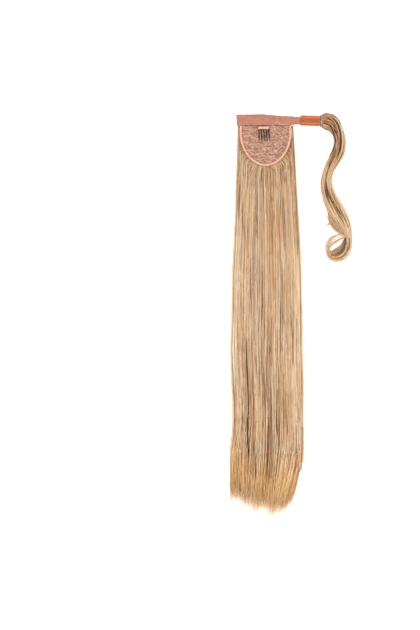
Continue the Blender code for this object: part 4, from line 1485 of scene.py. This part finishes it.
        tone = np.interp(share, (0, 0.06, 0.2, 0.3, 0.42, 0.55, 0.62, 1),
                         (-0.2, -0.14, -0.04, 0.08, 0.14, 0.24, 0.34, 0.36))
        # rim: painted highlight, lighter edges, the right one more than the left.
        rim = held((np.abs(place) - 0.68) / 0.32) * np.where(place > 0, 0.26, 0.14)
        tone = tone + rim * ease((share - 0.06) / 0.1)
        dark = np.exp(-((share - 0.135) / 0.06) ** 2) * np.exp(-((place - 0.26) / 0.15) ** 2)
        shaded = np.exp(-((share - 0.43) / 0.05) ** 2) * np.exp(-((place + 0.35) / 0.22) ** 2)
        bundle.add(joined(x + side_x * place * width / 2, y + side_y * place * width / 2, z), thick,
                   streak, share * 0.88, tone - 0.42 * dark - 0.34 * shaded)

    def stray(self, bundle: Bundle, rng: Random) -> None:
        """The locks and wisps that leave the strand.

        Args:
            bundle: Takes the locks.
            rng: Source of the small differences.
        """
        steps = shares(22)
        for lock in self.locks:
            path = smooth_path(np.array(lock.points) * 0.001, len(steps))
            run = unit(np.gradient(path[:, :2], axis=0))
            own = rng.normal(0, 1, lock.count)[:, None] * lock.spread
            off = own * (0.5 + np.sin(math.pi * steps))
            lines = 0.24 * np.sin(own * math.tau / 0.0021 + lock.count) * min(1, lock.spread / 0.0007)
            x = path[None, :, 0] - run[None, :, 1] * off
            y = path[None, :, 1] + run[None, :, 0] * off
            z = np.maximum(path[None, :, 2] + rng.normal(0, 0.0004, lock.count)[:, None], 0.0003)
            share = np.broadcast_to(0.3 + 0.7 * steps, x.shape)
            streak = joined(off * 7 + 17, share * 0.1, rng.uniform(0.1, 1, lock.count)[:, None])
            thin = lock.thin * (1 - 0.6 * ease((steps - 0.75) / 0.25))
            bundle.add(joined(x, y, z), thin, streak, share * 0.8, lock.tone + lines)

    def curl_face(self) -> Piece:
        """Shaded strands on the inner face of the curl, between its chord and the ring.

        Returns:
            The curl's inner face.
        """
        rng = seeded(self.seed + 1)
        count = self.curl_strands
        chord = smooth_path(np.array(self.chord) * 0.001, 16)
        arc = smooth_path(np.array(self.arc) * 0.001, 16)
        out = rng.random(count)[:, None]
        plan = chord[None] + (arc - chord)[None] * out[..., None] + rng.normal(0, 0.0003, (count, 1, 2))
        share = shares(16)
        z = 0.0008 + 0.0036 * out * (0.5 + 0.5 * np.sin(math.pi * share)) + rng.uniform(0, 0.0005, count)[:, None]
        chance = np.broadcast_to(rng.random(count)[:, None], z.shape)
        streak = joined(out * 0.0065 + 9, share * 0.04, chance)
        tone = -0.06 - 0.56 * out ** 1.2 * (0.5 + 0.5 * ease((share - 0.15) / 0.4)) - 0.14 * ease((share - 0.4) / 0.3)
        tone = tone + (chance - 0.5) * 0.5
        bundle = Bundle("wrap_strand_curl_face", HAIR_SHADE, "hair", frizz=0.0003, seed=3)
        tips = np.broadcast_to(0.3 + 0.3 * share, z.shape)
        return bundle.add(np.dstack([plan, z]), 0.0003, streak, tips, tone).build()

    def dress(self) -> None:
        """Builds the strand and hides its CAD solid."""
        rng = seeded(self.seed)
        under = self.body()
        bundle = Bundle("wrap_strand_hair", HAIR_WRAP, "hair", frizz=0.0005, seed=11)
        self.run_strands(bundle, rng)
        locks = Bundle("wrap_strand_locks", HAIR_WRAP, "hair", frizz=0.0005, seed=11)
        self.stray(locks, rng)
        for piece in (under, bundle.build(), locks.build(), self.curl_face()):
            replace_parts(piece, "wrap_strand")


@dataclass
class StrapCloth:
    """The band of loop fabric with its seam stitches."""

    width: float = 0.0173
    thick: float = 0.0018
    steps: int = 240
    loops: int = 3600
    loop_wire: float = 0.00007
    rows: Rows = (
        (0, 0.06, 0.91, 0), (0.01, 0.01, 0.96, 0), (0.312, 0, 1, 0), (0.537, 0, 0.85, 0), (0.655, 0.04, 0.81, 0),
        (0.71, 0.1, 0.78, 0.045), (0.766, 0.13, 0.765, 0.181), (1, 0.13, 0.785, 1))

    def droop(self, along: Array) -> Array:
        """How far the underside lies below its place over the base.

        Args:
            along: Shares of the strap's length.

        Returns:
            Distances in metres.
        """
        seat = (0.006 - self.thick) / 2
        in_base = (seat - BASE_LIFT + CUFF_MIDDLE * math.sin(BASE_TILT)) / math.cos(BASE_TILT)
        return (OVER_NET - in_base) * lookup(self.rows, along, 3)

    def surface(self, along: Array, across: Array, height: Array | float) -> Array:
        """Points of the strap by share along, share across and height over its underside.

        Args:
            along: Share of the length.
            across: Share of the width.
            height: Over the underside.

        Returns:
            The points.
        """
        lower = lookup(self.rows, along, 1) * self.width
        upper = lookup(self.rows, along, 2) * self.width
        x = STRAP_LEFT + along * STRAP_LENGTH
        y = lower + (upper - lower) * across
        z = OVER_NET - self.droop(along) + height
        return on_base(joined(x, y, z))

    def cloth(self) -> Piece:
        """The band with soft edges and a slightly uneven pile.

        Returns:
            The band.
        """
        rng = seeded(5)
        along, across = np.meshgrid(shares(self.steps), shares(38), indexing="ij")
        x = along[:, 0] * STRAP_LENGTH
        lower = ripple(x, rng, ((0.00007, 0.0071), (0.00006, 0.0026), (0.00012, 0.031)))[:, None]
        upper = ripple(x, rng, ((0.00008, 0.0083), (0.00006, 0.0031), (0.0001, 0.044)))[:, None]
        ragged = ripple(across[0], rng, ((0.00022, 0.31), (0.00016, 0.13)))
        rim = np.minimum(across, 1 - across) * self.width
        end = np.minimum(along, 1 - along) * STRAP_LENGTH
        round_off = np.sqrt(held(1 - (1 - held(np.minimum(rim, end) / 0.001)) ** 2))
        quilt = 0.00012 * np.sin(x[:, None] * 1900 + across * 3) * np.sin(across * 40)
        top = self.surface(along, across, self.thick * (0.5 + 0.5 * round_off) + quilt)
        bottom = self.surface(along, across, self.thick * (0.5 - 0.5 * round_off))
        for grid in (top, bottom):
            grid[..., 1] += lower * (1 - across) + upper * across
            near = np.exp(-(along * STRAP_LENGTH / 0.007) ** 2)
            grid[..., 0] += near * (0.0012 - 0.0018 * across + ragged)
            grid[..., 1] += (0.0001 - 0.0014 * near) * (1 - across)
        inner = np.minimum((1 - across) * self.width, along * STRAP_LENGTH + 0.0004)
        edge = held(1 - inner / 0.0021).ravel() ** 0.6
        return solid("strap_cloth", *shell(top, bottom), STRAP_PILE, "loop_fabric", {"rim": np.tile(edge, 2)})

    def pile(self) -> Piece:
        """Small loops standing on the inner face.

        Returns:
            The pile.
        """
        rng = seeded(6)
        count = self.loops
        along = rng.uniform(0.006, 0.765, count)
        across = rng.uniform(0.03, 0.97, count)
        root = self.surface(along, across, self.thick - 0.0001)
        turn = rng.uniform(0, math.tau, count)
        share = shares(5)
        span = rng.uniform(0.00025, 0.0005, count)
        rise = rng.uniform(0.0002, 0.00042, count)
        reach = (share - 0.5) * span[:, None]
        points = np.repeat(root[:, None, :], 5, axis=1)
        points[..., 0] += reach * np.cos(turn)[:, None]
        points[..., 1] += reach * np.sin(turn)[:, None]
        points[..., 2] += np.sin(math.pi * share) * rise[:, None]
        return Bundle("strap_pile", STRAP_PILE, "loop_fabric").add(points, self.loop_wire).build()

    def seam(self) -> Piece:
        """Stitches that hold the strap to the base, along its lower edge.

        Returns:
            The seam.
        """
        along = np.arange(0.003, 0.0815, 0.0026) / STRAP_LENGTH
        share = shares(5)
        places = along[:, None] + share * 0.0018 / STRAP_LENGTH
        height = self.thick - 0.00005 + 0.00018 * np.sin(math.pi * share)
        points = self.surface(places, np.full_like(places, 0.09), height)
        thick = 0.00013 * (0.6 + 0.4 * np.sin(math.pi * share))
        return Bundle("strap_seam", SEAM_THREAD, "loop_fabric", sides=5).add(points, thick).build()

    def dress(self) -> None:
        """Builds the strap with its pile and seam."""
        cloth = self.cloth()
        extras = [self.pile(), self.seam()]
        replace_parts(cloth, "strap")
        0.86 * self.width * STRAP_LENGTH


class Facing(Enum):
    """Which way a patch's hooks point."""

    UP = 1
    DOWN = -1


@dataclass
class HookPatch:
    """A patch of hook tape with its stitches."""

    name: str
    node: str
    start: float
    length: float
    lower: float
    width: float
    facing: Facing
    strap: StrapCloth
    thick: float = 0.0012
    pitch: float = 0.0011
    row_pitch: float = 0.00125
    stitch_pitch: float = 0.0023

    def surface(self, x: Array, y: Array, height: Array | float) -> Array:
        """Points of the patch by x and y in the base's plane and height over its underside.

        Args:
            x, y: In the base's plane.
            height: Over the underside.

        Returns:
            The points.
        """
        along = (x - STRAP_LEFT) / STRAP_LENGTH
        if self.facing is Facing.UP:
            bottom = OVER_NET - self.strap.droop(along) + self.strap.thick + GAP
        else:
            bottom = OVER_NET - GAP - self.thick
        return on_base(joined(x, y, bottom + height))

    def tape(self) -> Piece:
        """The woven tape with soft, slightly frayed edges.

        Returns:
            The tape.
        """
        rng = seeded(int(self.length * 1e5))
        along, across = np.meshgrid(shares(100), shares(26), indexing="ij")
        x = self.start + along * self.length
        edge = ripple(x, rng, ((0.00012, 0.0043), (0.0001, 0.013)))
        y = self.lower + across * self.width + edge * (2 * np.abs(across - 0.5)) ** 4
        rim = np.minimum(np.minimum(across, 1 - across) * self.width, np.minimum(along, 1 - along) * self.length)
        round_off = np.sqrt(held(1 - (1 - held(rim / 0.0006)) ** 2))
        rise = self.thick * 0.5 * round_off
        top, bottom = (self.surface(x, y, self.thick * 0.5 + side * rise) for side in (1, -1))
        return solid(self.name, *shell(top, bottom), TAPE, "hook_tape")

    def hooks(self) -> Piece:
        """Rows of small hooks between the seams.

        Returns:
            The hooks.
        """
        rng = seeded(9)
        columns = np.arange(self.start + 0.0016, self.start + self.length - 0.0012, self.pitch)
        rows = np.arange(self.lower + 0.0048, self.lower + self.width - 0.004, self.row_pitch)
        x, y = (axis.ravel() for axis in np.meshgrid(columns, rows))
        x = x + rng.normal(0, 0.00008, x.size)
        y = y + rng.normal(0, 0.00008, x.size)
        lean = np.array([0, 0.00002, 0.0001, 0.0003, 0.00046, 0.00044])
        rise = np.array([-0.0001, 0.00025, 0.0005, 0.00062, 0.0005, 0.00034])
        toward = np.where(np.arange(x.size) % 2 == 0, 1, -1)
        sign = self.facing.value
        base = self.thick if sign > 0 else 0
        points = self.surface(x[:, None] + lean * toward[:, None], y[:, None], base + sign * rise)
        thick = np.array([0.0001, 0.00009, 0.00008, 0.00008, 0.00008, 0.00005])
        return Bundle(self.name + "_hooks", HOOKS, "hook_tape", sides=4).add(points, thick).build()

    def stitches(self) -> Piece:
        """Pale stitches along both edges, the lower row starting on a slant.

        Returns:
            The stitches.
        """
        bundle = Bundle(self.name + "_stitches", PALE_THREAD, "hook_tape", sides=5)
        share = shares(5)
        sign = self.facing.value
        base = self.thick if sign > 0 else 0
        starts = np.arange(self.start + 0.0012, self.start + self.length - 0.0022, self.stitch_pitch)
        for row in (self.lower + 0.0036, self.lower + self.width - 0.003):
            x = starts[:, None] + share * 0.0018
            slant = held(1 - (x - self.start) / 0.0045) * 0.0028
            y = row + slant * (row < self.lower + 0.004)
            arch = base + sign * (0.00015 * np.sin(math.pi * share) + 0.00002)
            bundle.add(self.surface(x, y, arch), 0.00026 * (0.65 + 0.35 * np.sin(math.pi * share)))
        return bundle.build()

    def dress(self) -> None:
        """Builds the patch with its hooks and stitches."""
        tape = self.tape()
        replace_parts(tape, self.node)
        self.hooks()
        self.stitches()


@dataclass
class LaceBase:
    """The U-shaped lace with its wavy cords and rolled binding."""

    binding_width: float = 0.0036
    wall: float = 0.001
    rows: int = 14
    pitch: float = 0.0045
    wave: float = 0.0077
    swing: float = 0.0015
    cord: float = 0.0003
    cord_height: float = 0.00078
    columns: int = 200

    def edge(self, inset: float, count: int) -> Array:
        """Points of the U edge, moved in by a distance, from its upper left end to its right.

        Args:
            inset: The distance.
            count: Points on the round part.

        Returns:
            The points, x and y.
        """
        half = BASE_WIDTH / 2 - inset
        points, out = round_edge(np.linspace(0, math.pi, count))
        return np.vstack([[[-half, -GAP]], points - out * inset, [[half, -GAP]]])

    def inside(self, x: Array, y: Array, inset: float) -> Array:
        """Whether points lie inside the U edge by a distance.

        Args:
            x, y: The points.
            inset: The distance.

        Returns:
            True inside.
        """
        half = BASE_WIDTH / 2 - inset
        drop = BASE_DEPTH - BASE_STRAIGHT - inset
        below = np.maximum(0, -y - BASE_STRAIGHT)
        return (x / half) ** 2 + (below / drop) ** 2 < 1

    def binding(self) -> Piece:
        """The rolled tape round the U, gathered a little where it is sewn.

        Returns:
            The binding.
        """
        rng = seeded(21)
        outer = smooth_path(self.edge(0, 61), 420)
        inner = smooth_path(self.edge(self.binding_width, 61), 420)
        run = shares(420)
        pucker = 0.5 + 0.5 * np.sin(math.tau * run * 74 + ripple(run, rng, ((1.2, 0.13), (0.8, 0.041))))
        swell = 1 - 0.1 * pucker - 0.05 * np.abs(ripple(run, rng, ((0.7, 0.021), (0.6, 0.013))))
        lean, rise = channel(0.35, 0.36, 13)
        middle = (outer + inner) / 2
        half = (outer - inner) / 2
        plan = middle[:, None, :] + half[:, None, :] * (lean * swell[:, None])[..., None]
        low, high = -GAP - self.wall, NET_THICK + GAP + self.wall
        height = (low + high) / 2 + (high - low) / 2 * rise * swell[:, None]
        return solid("binding_roll", *sweep(on_base(np.dstack([plan, height]))), BINDING, "binding")

    def binding_stitches(self) -> Piece:
        """Whip stitches over the binding's inner edge.

        Returns:
            The stitches.
        """
        path = smooth_path(self.edge(self.binding_width - 0.0006, 61), 62)[1:-1]
        into = smooth_path(self.edge(self.binding_width + 0.0006, 61), 62)[1:-1]
        share = shares(5)
        plan = path[:, None, :] + (into - path)[:, None, :] * share[None, :, None]
        plan[..., 0] += 0.0005 * (share - 0.5)
        height = 0.0014 + 0.0006 * np.cos(share * math.pi)
        points = on_base(joined(plan[..., 0], plan[..., 1], height))
        return Bundle("binding_stitches", SEAM_THREAD, "binding", sides=4).add(points, 0.00012).build()

    def ridges(self) -> list[tuple[Array, Array]]:
        """Zigzag ridges of the lace, row by row: y and strength at even places across the base.

        Returns:
            A pair for each row.
        """
        rng = seeded(33)
        x = np.linspace(-BASE_WIDTH / 2, BASE_WIDTH / 2, self.columns)
        made = []
        for row in range(self.rows):
            phase = (x + ripple(x, rng, ((0.0012, 0.033), (0.0007, 0.015)))) / self.wave + rng.uniform(0, 1)
            zigzag = 4 * np.abs(phase - np.floor(phase + 0.5)) - 1
            swing = self.swing * (1 + ripple(x, rng, ((0.3, 0.024), (0.25, 0.011))))
            line = -0.001 - row * self.pitch + swing * zigzag + ripple(x, rng, ((0.0012, 0.06), (0.0006, 0.023)))
            strength = np.clip(0.72 + ripple(x, rng, ((0.35, 0.021), (0.35, 0.0087))), 0.05, 1)
            made.append((line, strength))
        return made

    def cloth(self, ridges: list[tuple[Array, Array]]) -> Piece:
        """The lace itself, raised along its ridges, with a mottled ground and painted shade in a band beside each
        ridge.

        Args:
            ridges: The rows.

        Returns:
            The lace.
        """
        rng = seeded(31)
        x, y = np.meshgrid(np.linspace(-BASE_WIDTH / 2, BASE_WIDTH / 2, self.columns),
                           np.linspace(NET_MARGIN, -BASE_DEPTH, 160))
        ridge, gap, ground = np.zeros_like(x), np.zeros_like(x), np.zeros_like(x)
        for line, strength in ridges:
            off = (y - line) / 1.3
            ridge = np.maximum(ridge, strength * np.exp(-(off / 0.00058) ** 2))
            # gap: painted shade in a band beside each ridge.
            gap = np.maximum(gap, strength[::-1] * np.exp(-((off + 0.0012) / 0.00055) ** 2))
        lengths = (0.0019, 0.0023, 0.0028, 0.0034, 0.0046, 0.0065, 0.011, 0.016)
        for length in lengths:
            turn = rng.uniform(0, math.tau)
            ground += np.sin(math.tau * (x * math.cos(turn) + y * math.sin(turn)) / length + rng.uniform(0, math.tau))
        ground = held(0.5 + ground / 6)
        level = held(0.26 + 0.34 * ground + 0.52 * ridge - 0.3 * gap)
        top = 0.00032 + 0.00045 * ridge + 0.00013 * ground
        middle_x, middle_y = (x[1:, 1:] + x[:-1, :-1]) / 2, (y[1:, 1:] + y[:-1, :-1]) / 2
        cells = self.inside(middle_x, middle_y, 0.0009)
        return solid("lace_cloth", *shell(on_base(joined(x, y, top)), on_base(joined(x, y, 0)), cells), LACE, "lace",
                     {"level": np.tile(level.ravel(), 2)})

    def cords(self, ridges: list[tuple[Array, Array]]) -> Piece:
        """Raised cords along the strongest parts of the ridges.

        Args:
            ridges: The rows.

        Returns:
            The cords.
        """
        bundle = Bundle("lace_cords", LACE_THREAD, "lace", sides=5, frizz=0.0004, seed=4)
        x = np.linspace(-BASE_WIDTH / 2, BASE_WIDTH / 2, self.columns)
        for y, strength in ridges:
            keep = self.inside(x, y, self.binding_width - 0.0006) & (y < 0.0006) & (strength > 0.62)
            for run in np.split(np.arange(x.size), np.where(np.diff(keep.astype(int)) != 0)[0] + 1):
                if keep[run[0]] and len(run) > 5:
                    end = np.minimum(np.arange(len(run)), np.arange(len(run))[::-1])
                    bundle.add(on_base(joined(x[run], y[run], self.cord_height))[None],
                               (self.cord * np.minimum(1, 0.5 + end / 4))[None])
        return bundle.build()

    def loose_thread(self) -> Piece:
        """The pale thread that has come out of the lace over the strap's edge.

        Returns:
            The thread.
        """
        corners = np.array([
            (0.0085, -0.003, 0.0014), (0.0075, -0.0095, 0.0013), (0.0118, -0.005, 0.0015),
            (0.0155, -0.008, 0.0014), (0.0112, -0.0004, 0.0022), (0.0103, 0.001, 0.0034),
            (0.0162, 0.0046, 0.0036), (0.0193, 0.0047, 0.0036), (0.0219, 0.0014, 0.0035),
            (0.0268, 0.0014, 0.0035), (0.0335, 0.0008, 0.0035)])
        bundle = Bundle("loose_thread", PALE_THREAD, "lace", sides=6, frizz=0.0003, seed=8)
        return bundle.add(on_base(smooth_path(corners, 70))[None], 0.00028).build()

    def dress(self) -> None:
        ridges = self.ridges()
        lace = self.cloth(ridges)
        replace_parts(lace, "net_panel")
        self.cords(ridges)
        self.loose_thread()
        roll = self.binding()
        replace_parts(roll, "edge_binding")
        self.binding_stitches()


@dataclass
class Comb:
    """The wire comb and the cloth sleeve that holds its spine."""

    centre: float = -0.0032
    teeth: int = 5
    pitch: float = 0.0038
    length: float = 0.0206
    bulge: float = 0.0013
    fan: float = 0.0012
    wire: float = 0.0004
    sleeve_length: float = 0.0163
    sleeve_setback: float = 0.0017

    def wires(self) -> Piece:
        """Teeth bent from one wire each, so that most look double, and the spine that they hang on.

        Returns:
            The wires.
        """
        bundle = Bundle("comb_wires", WIRE, "comb_metal", sides=10)
        spine_y = -0.0039
        root_z = OVER_NET + 0.0017
        tip_z = OVER_NET + 0.0005
        spread = (0.0003, 0.00036, 0.00032, 0.0003, 0.00038)
        for number in range(self.teeth):
            offset = (number - (self.teeth - 1) / 2) * self.pitch
            share = shares(18)
            legs = []
            for side in (-1, 1):
                x = self.centre + offset + self.fan * share * (1.2 + 0.1 * number)
                x = x + 0.0003 * np.sin(share * (5 + number) + number * 2)
                x = x + side * spread[number] * (1 - share ** 3) * (1 - 0.15 * share)
                y = spine_y - self.length * 0.94 * share
                z = root_z + (tip_z - root_z) * share + self.bulge * np.sin(math.pi * share)
                legs.append(joined(x, y, z))
            path = smooth_path(np.vstack([legs[0][:-1], legs[1][::-1]]), 44)
            bundle.add(on_base(path)[None], self.wire)
        x = np.linspace(self.centre - 0.008, self.centre + 0.008, 16)
        spine = on_base(joined(x, spine_y, root_z))
        bundle.add(spine[None], 0.0006)
        return bundle.build()

    def sleeve(self) -> Piece:
        """The soft bar over the spine, with an ear down at each end.

        Returns:
            The sleeve.
        """
        steps = np.linspace(-1, 1, 60)
        ear = held((np.abs(steps) - 0.86) / 0.14)
        x = self.centre + steps * self.sleeve_length / 2
        depth = 0.0021 + 0.0004 * ear
        middle = -self.sleeve_setback - 0.0019 - 0.0005 * ear
        high = 0.0017 * (1 - 0.25 * ear) * (1 - 0.05 * np.sin(steps * 40))
        close = np.sqrt(np.clip(1 - held((np.abs(steps) - 0.94) / 0.06) ** 2, 0.05, 1))
        lean, rise = channel(0.3, 0.34, 13)
        y = middle[:, None] + (depth * close)[:, None] * lean
        z = OVER_NET + 0.0017 + (high * close)[:, None] * rise
        return solid("comb_sleeve_cloth", *sweep(on_base(joined(x[:, None], y, z))), SLEEVE, "loop_fabric")

    def slot(self) -> Piece:
        """Dark cords on the strap as painted shadow of the slit that the sleeve comes out of.

        Returns:
            The slit's edge.
        """
        bundle = Bundle("comb_slot_shadow", SLOT_SHADE_THREAD, "loop_fabric", sides=6, frizz=0.0003, seed=12)
        x = np.linspace(-0.0088, 0.0026, 20)
        for y, z in ((0, 0.0024), (0.0006, 0.003)):
            bundle.add(on_base(joined(x, y, z))[None],
                       0.00036 * np.sqrt(np.clip(np.sin(np.linspace(0.02, 0.98, 20) * math.pi), 0.1, 1))[None])
        return bundle.build()

    def dress(self) -> None:
        """Builds the comb and its sleeve."""
        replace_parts(self.wires(), "comb_teeth")
        sleeve = self.sleeve()
        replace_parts(sleeve, "comb_sleeve")
        self.slot()


@dataclass
class Cuff:
    """The stitched, frayed fold that the wrap strand is sewn into."""

    start: float = STRAP_RIGHT + GAP
    depth: float = 0.0043
    length: float = 0.02
    height: float = 0.0046
    wall: float = 0.0009
    frayed: int = 130

    def fold(self) -> Piece:
        """The folded cloth, open towards the strand.

        Returns:
            The fold.
        """
        steps = 48
        along = np.linspace(-0.5, 0.5, steps)
        section = []
        for turn in np.linspace(-math.pi / 2, -3 * math.pi / 2, 11):
            section.append((self.height / 2 * (1 + math.cos(turn)), self.height / 2 * (1 + math.sin(turn))))
        outer = [(self.depth, 0)] + section + [(self.depth, self.height)]
        inner = [(self.depth, self.height - self.wall)]
        for out, up in reversed(section):
            inner.append((self.wall + out * (1 - self.wall / (self.height / 2)),
                          self.height / 2 + (up - self.height / 2) * (1 - 2 * self.wall / self.height)))
        inner.append((self.depth, self.wall))
        ring = np.array(outer + inner)
        rng = seeded(15)
        pucker = ripple(along, rng, ((0.00022, 0.11), (0.00015, 0.047)))
        fray = np.where(ring[:, 0] > self.depth - 1e-9, 1, 0)
        x = self.start + ring[None, :, 0] + fray * ripple(along, rng, ((0.0005, 0.09), (0.0004, 0.031)))[:, None]
        close = 1 - 0.18 * (2 * np.abs(along)) ** 6
        y = CUFF_MIDDLE + along[:, None] * self.length * (0.74 + 0.26 * ring[None, :, 0] / self.depth)
        z = self.height / 2 + (ring[None, :, 1] - self.height / 2) * (close + pucker * 120)[:, None]
        return solid("cuff_fold", *sweep(joined(x, y, np.maximum(z, 0))), CUFF_CLOTH, "cuff")

    def seams(self) -> list[Piece]:
        """Two dark cords painting the shadow line at the cuff's edge, a pale seam, slanting white stitches and frayed
        ends.

        Returns:
            The four pieces.
        """
        rng = seeded(16)
        made = []
        run = np.linspace(-0.5, 0.5, 40)
        top = self.height + 0.0001
        # Painted shadow line where the cuff meets the strap.
        dark = Bundle("cuff_shadow_line", SHADOW_LINE_THREAD, "cuff", sides=5, frizz=0.0007, seed=2)
        for offset, thick, drop in ((0.0007, 0.00045, 0.0007), (0.0013, 0.0004, 0.0003)):
            y = CUFF_MIDDLE + 0.0006 + run * self.length * 0.8
            dark.add(joined(self.start + offset, y, top - drop)[None], thick)
        made.append(dark.build())
        pink = Bundle("cuff_pink_stitches", PINK_THREAD, "cuff", sides=5, frizz=0.0004, seed=3)
        y = CUFF_MIDDLE + 0.002 + run * self.length * 0.66
        pink.add(joined(self.start + 0.0036 + 0.0002 * np.sin(run * 40), y, top)[None], 0.00028)
        pale = Bundle("cuff_pale_stitches", PALE_THREAD, "cuff", sides=5, frizz=0.0003, seed=5)
        slope = shares(6)
        for bundle, start_x, start_y, reach, fall in (
                (pale, 0.0002, 0.0058, 0.002, -0.0028), (pale, 0.0006, 0.0072, 0.002, -0.0024),
                (pink, 0.0026, 0.0044, 0.0018, -0.003), (pale, 0.005, 0.002, 0.0016, -0.0008),
                (pink, 0.003, 0, 0.0012, -0.0014)):
            height = top - 0.0012 * held(1 - start_x / 0.0012) * (1 - slope) + 0.0004 * np.sin(math.pi * slope)
            points = joined(self.start + start_x + slope * reach, start_y + slope * fall, height)
            bundle.add(points[None], 0.00036)
        made += [pink.build(), pale.build()]
        fray = Bundle("cuff_frayed_ends", CUFF_CLOTH, "cuff")
        count = self.frayed
        place = rng.uniform(-0.5, 0.5, count)
        upper = rng.choice([0, 1], count, p=[0.3, 0.7])
        share = shares(5)
        length = rng.uniform(0.0006, 0.0022, count)
        swing = rng.normal(0, 0.0006, count)
        x = self.start + self.depth - 0.0004 + share * length[:, None]
        wander = CUFF_MIDDLE + place[:, None] * self.length + share ** 2 * swing[:, None]
        z = np.where(upper > 0.5, self.height - 0.0004, 0.0006)[:, None] + share * rng.normal(
            0.0002, 0.0004, count)[:, None]
        fray.add(joined(x, wander, np.maximum(z, 0.0002)), 0.00009)
        made.append(fray.build())
        return made

    def dress(self) -> None:
        """Builds the cuff."""
        fold = self.fold()
        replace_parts(fold, "strand_cuff")
        self.seams()


@dataclass
class Studio:
    """Pale floor, soft light and the camera over the hairpiece."""

    middle: tuple[float, float] = (-0.1218, 0.0007)
    frame_height: float = 0.945
    distance: float = 9
    sensor: float = 36
    world_light: float = 0.72
    lamps: tuple[tuple[str, tuple[float, float, float], float, float], ...] = (
        ("key", (-1.2, 1.4, 2.6), 1.6, 43), ("fill", (1.6, 0.3, 2.4), 1.8, 32))

    def camera(self) -> None:
        """Looks straight down, with the photograph's upward direction along +Y."""
        data = bpy.data.cameras.new("camera")
        data.sensor_width = self.sensor
        data.lens = self.sensor * self.distance / self.frame_height
        thing = linked("camera", data)
        thing.location = (*self.middle, self.distance)
        bpy.context.scene.camera = thing

    def floor(self) -> None:
        """The floor under the hairpiece."""
        mesh = bpy.data.meshes.new("floor")
        mesh.from_pydata([(-4, -4, -0.0003), (4, -4, -0.0003), (4, 4, -0.0003), (-4, 4, -0.0003)],
                         [], [(0, 1, 2, 3)])
        mesh.materials.append(FLOOR.material())
        linked("floor", mesh)

    def lamp(self, name: str, place: tuple[float, float, float], size: float, power: float) -> None:
        """An area light that looks at the hairpiece's middle.

        Args:
            name: Its name.
            place: Where it hangs.
            size: Side of its square.
            power: Watts.
        """
        data = bpy.data.lights.new(name, "AREA")
        data.size = size
        data.energy = power
        thing = linked(name, data)
        thing.location = place
        thing.rotation_euler = (-Vector(place)).to_track_quat("-Z", "Y").to_euler()

    def light(self) -> None:
        """Even world light with a soft key from the upper left and a fill from the right."""
        world = bpy.data.worlds.new("studio")
        world.use_nodes = True
        sky = world.node_tree.nodes["Background"].inputs
        sky["Color"].default_value = (1, 1, 1, 1)
        sky["Strength"].default_value = self.world_light
        bpy.context.scene.world = world
        for lamp in self.lamps:
            self.lamp(*lamp)

    def dress(self) -> None:
        """Sets the stage."""
        bpy.context.scene.view_settings.view_transform = "Standard"
        self.camera()
        self.floor()
        self.light()


def tiers() -> list[HairTier]:
    """The three tiers, from the surface up.

    Returns:
        The tiers.
    """
    return [
        HairTier("hair_outer", "hair_tier_outer", start=0, root_inset=0, side_inset=0, reach=1, floor=1, ceiling=2,
                 arch=0, top_strands=0, side_strands=820, tip_strands=520, bottom_strands=900, seed=41),
        HairTier("hair_middle", "hair_tier_middle", start=0.02, root_inset=0.008, side_inset=0.003, reach=0.996,
                 floor=2, ceiling=3, arch=0, top_strands=0, side_strands=820, tip_strands=520, bottom_strands=0,
                 seed=42),
        HairTier("hair_inner", "hair_tier_inner", start=0.04, root_inset=0.009, side_inset=0.0065, reach=0.99,
                 floor=3, ceiling=0, arch=0.62, top_strands=1800, side_strands=0, tip_strands=420,
                 bottom_strands=0, seed=43, rim=0.14),
    ]


def patches(strap: StrapCloth) -> list[HookPatch]:
    """The tab's patch and the one on the outer side of the strap's other end.

    Returns:
        The patches.
    """
    return [
        HookPatch("hook_tape_inner", "hook_patch_inner", start=STRAP_RIGHT - 0.0292, length=0.0289, lower=0.0003,
                  width=0.0153, facing=Facing.UP, strap=strap),
        HookPatch("hook_tape_outer", "hook_patch_outer", start=STRAP_LEFT + GAP, length=0.0597,
                  lower=NET_MARGIN + GAP, width=0.0134, facing=Facing.DOWN, strap=strap),
    ]


def main() -> None:
    """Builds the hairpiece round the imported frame."""
    logging.basicConfig(level=logging.INFO, format="%(name)s: %(message)s")
    layers = tiers()
    strap = StrapCloth()
    for part in (Studio(), *layers, RootFringe(layers[-1]), PartingShadeAndWisps(layers[-1]), WrapStrand(), LaceBase(),
                 *patches(strap), strap, Comb(), Cuff()):
        part.dress()
        LOG.info("%s built", getattr(part, "name", type(part).__name__))
    bpy.context.view_layer.update()


if __name__ == "__main__":
    main()
